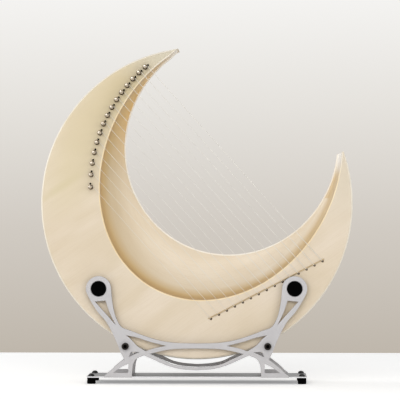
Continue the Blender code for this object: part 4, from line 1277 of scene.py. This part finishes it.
def make_world():
    """Even soft light all round; what is seen of it is a pale backdrop, darker towards its foot."""
    world = bpy.data.worlds.new("studio")
    bpy.context.scene.world = world
    world.use_nodes = True
    tree = world.node_tree
    tree.nodes.clear()
    view = node(tree, "TexCoord").outputs["Generated"]
    up = node(tree, "SeparateXYZ", {"Vector": view}).outputs["Z"]
    ramp = node(tree, "ValToRGB", {"Fac": ranged(tree, up, *BACKDROP_SLOPES)})
    elements = ramp.color_ramp.elements
    while len(elements) < len(BACKDROP):
        elements.new(0.5)
    for element, (place, tint) in zip(elements, BACKDROP):
        element.position = place
        element.color = (*linear(tint), 1.0)
    path = node(tree, "LightPath")
    seen = path.outputs["Is Camera Ray"]
    for kind in ("Is Glossy Ray", "Is Transmission Ray"):
        seen = node(tree, "Math", {0: seen, 1: path.outputs[kind]}, operation="MAXIMUM").outputs[0]
    light = node(tree, "Background", {"Color": (1.0, 1.0, 1.0, 1.0), "Strength": WORLD_LIGHT})
    backdrop = node(tree, "Background", {"Color": ramp.outputs["Color"], "Strength": 1.0})
    both = node(tree, "MixShader", {0: seen, 1: light.outputs[0], 2: backdrop.outputs[0]})
    out = node(tree, "OutputWorld", {"Surface": both.outputs[0]})
    out.is_active_output = True


def add_aimed(name, data, place, target):
    """Adds a lamp or a camera that looks from its place at a target."""
    made = add_object(name, data)
    made.location = place
    made.rotation_mode = "QUATERNION"
    made.rotation_quaternion = (Vector(target) - Vector(place)).to_track_quat("-Z", "Y")
    return made


def make_lamps():
    for name, place, size, power in LAMPS:
        data = bpy.data.lights.new(name, "AREA")
        data.shape = "RECTANGLE"
        data.size, data.size_y = size
        data.energy = power
        add_aimed(name, data, place, LAMP_TARGET)


def make_camera():
    data = bpy.data.cameras.new("camera")
    data.lens = CAMERA_LENS
    data.clip_end = 50
    bpy.context.scene.camera = add_aimed("camera", data, CAMERA_PLACE, CAMERA_TARGET)
    bpy.context.scene.view_settings.view_transform = "Standard"


def make_harp():
    face = make_wood(
        "face_wood", (233, 218, 197), (223, 206, 179), (198, 172, 132), 0.42, tint=tint_face
    )
    wall = make_wood(
        "wall_wood", (243, 232, 214), (234, 219, 195), (194, 162, 118), 0.46, True, paint_wall_shade_and_light
    )
    # Painted highlight: a paler wood for the eased edge round the front opening
    lip = make_wood(
        "opening_edge_painted_highlight_wood", (250, 232, 195), (244, 220, 175), (220, 188, 140), tint=tint_lip
    )
    rim = make_wood("rim_wood", (231, 217, 195), (220, 203, 176), (196, 168, 128), bent=True)
    block = make_wood("block_wood", (190, 156, 114), (168, 130, 88), (130, 92, 58), 0.6)
    brass = make_metal("aged_brass", (74, 58, 38), 0.45)
    rod = make_metal("worn_brass", (184, 164, 130), 0.36)
    black = make_rubber("black_stud", (5, 4, 4), 0.7)
    chrome = make_metal("chrome", (196, 186, 172), 0.22, 1.0, spread=0.03)
    # Painted shade on the pins' collars
    dark = make_metal("collar_painted_shade", (84, 72, 58), 0.38)
    coil_shade = make_metal("coil_painted_shade_steel", (100, 86, 68), 0.42)
    steel = make_metal("string_steel", (233, 229, 221), 0.50, 0.2, mark=0.0004)
    # Painted highlights: paler woods for the rounded outer rim and the back plate's lip
    cream = make_wood("rounded_edge_painted_highlight_wood", (245, 237, 221), (239, 228, 208), (218, 199, 170))
    pale = make_wood("back_edge_painted_highlight_wood", (255, 251, 243), (252, 244, 230), (236, 220, 196))
    make_plates(face, cream, lip, pale)
    make_bent_pieces(wall, rim)
    left = make_tip("left_tip_block", LEFT_TIP, LEFT_BLOCK_END, -0.075, wall, rim)
    boolean(left, "DIFFERENCE", pin_drills(range(PINS_IN_BLOCK, len(PINS)), TIP_DRILL))
    dress(smooth(left), "harp", "face_wood", "left_tip_block")
    right = make_tip("right_tip_block", RIGHT_BLOCK_END, RIGHT_TIP, 1.0, wall, rim)
    dress(smooth(right), "harp", "face_wood", "right_tip_block")
    make_pin_block(block)
    for name in ("bridge_block", "front_brace"):
        set_materials(frame["nodes"][name].data, block)
    make_pins(chrome, dark)
    make_studs(black)
    make_strings(steel, coil_shade, brass)
    make_saddle(rod, brass)


def make_stand():
    metal = make_metal("anodised_aluminium", (188, 186, 187), 0.50, 0.5)
    # Painted shade on the frames' edge faces
    cut = make_metal("edge_painted_shade_aluminium", (62, 60, 59), 0.55, 0.9)
    # Painted shade on the base's top and painted highlight on its edges
    top = make_metal("base_top_painted_shade_aluminium", (121, 121, 123), 0.42, 0.9)
    base_edge_highlight = make_metal("base_edge_painted_highlight_aluminium", (226, 226, 228), 0.40, 0.7)
    bolt = make_metal("bolt_steel", (46, 43, 40), 0.36)
    rubber = make_rubber("rubber", (1, 1, 1), 0.8)
    black = make_metal("black_screw", (8, 8, 9), 0.45, 0.2)
    make_frame("front_frame_plate", "front_frame", FRONT_FRAME, -1, metal, cut)
    make_frame("rear_frame_plate", "rear_frame", REAR_FRAME, 1, metal, cut)
    make_base(top, base_edge_highlight)
    make_bolts(bolt, rubber, metal)
    make_pads(rubber)
    make_feet(rubber, black)


make_camera()
make_world()
make_lamps()
make_floor()
make_harp()
make_stand()
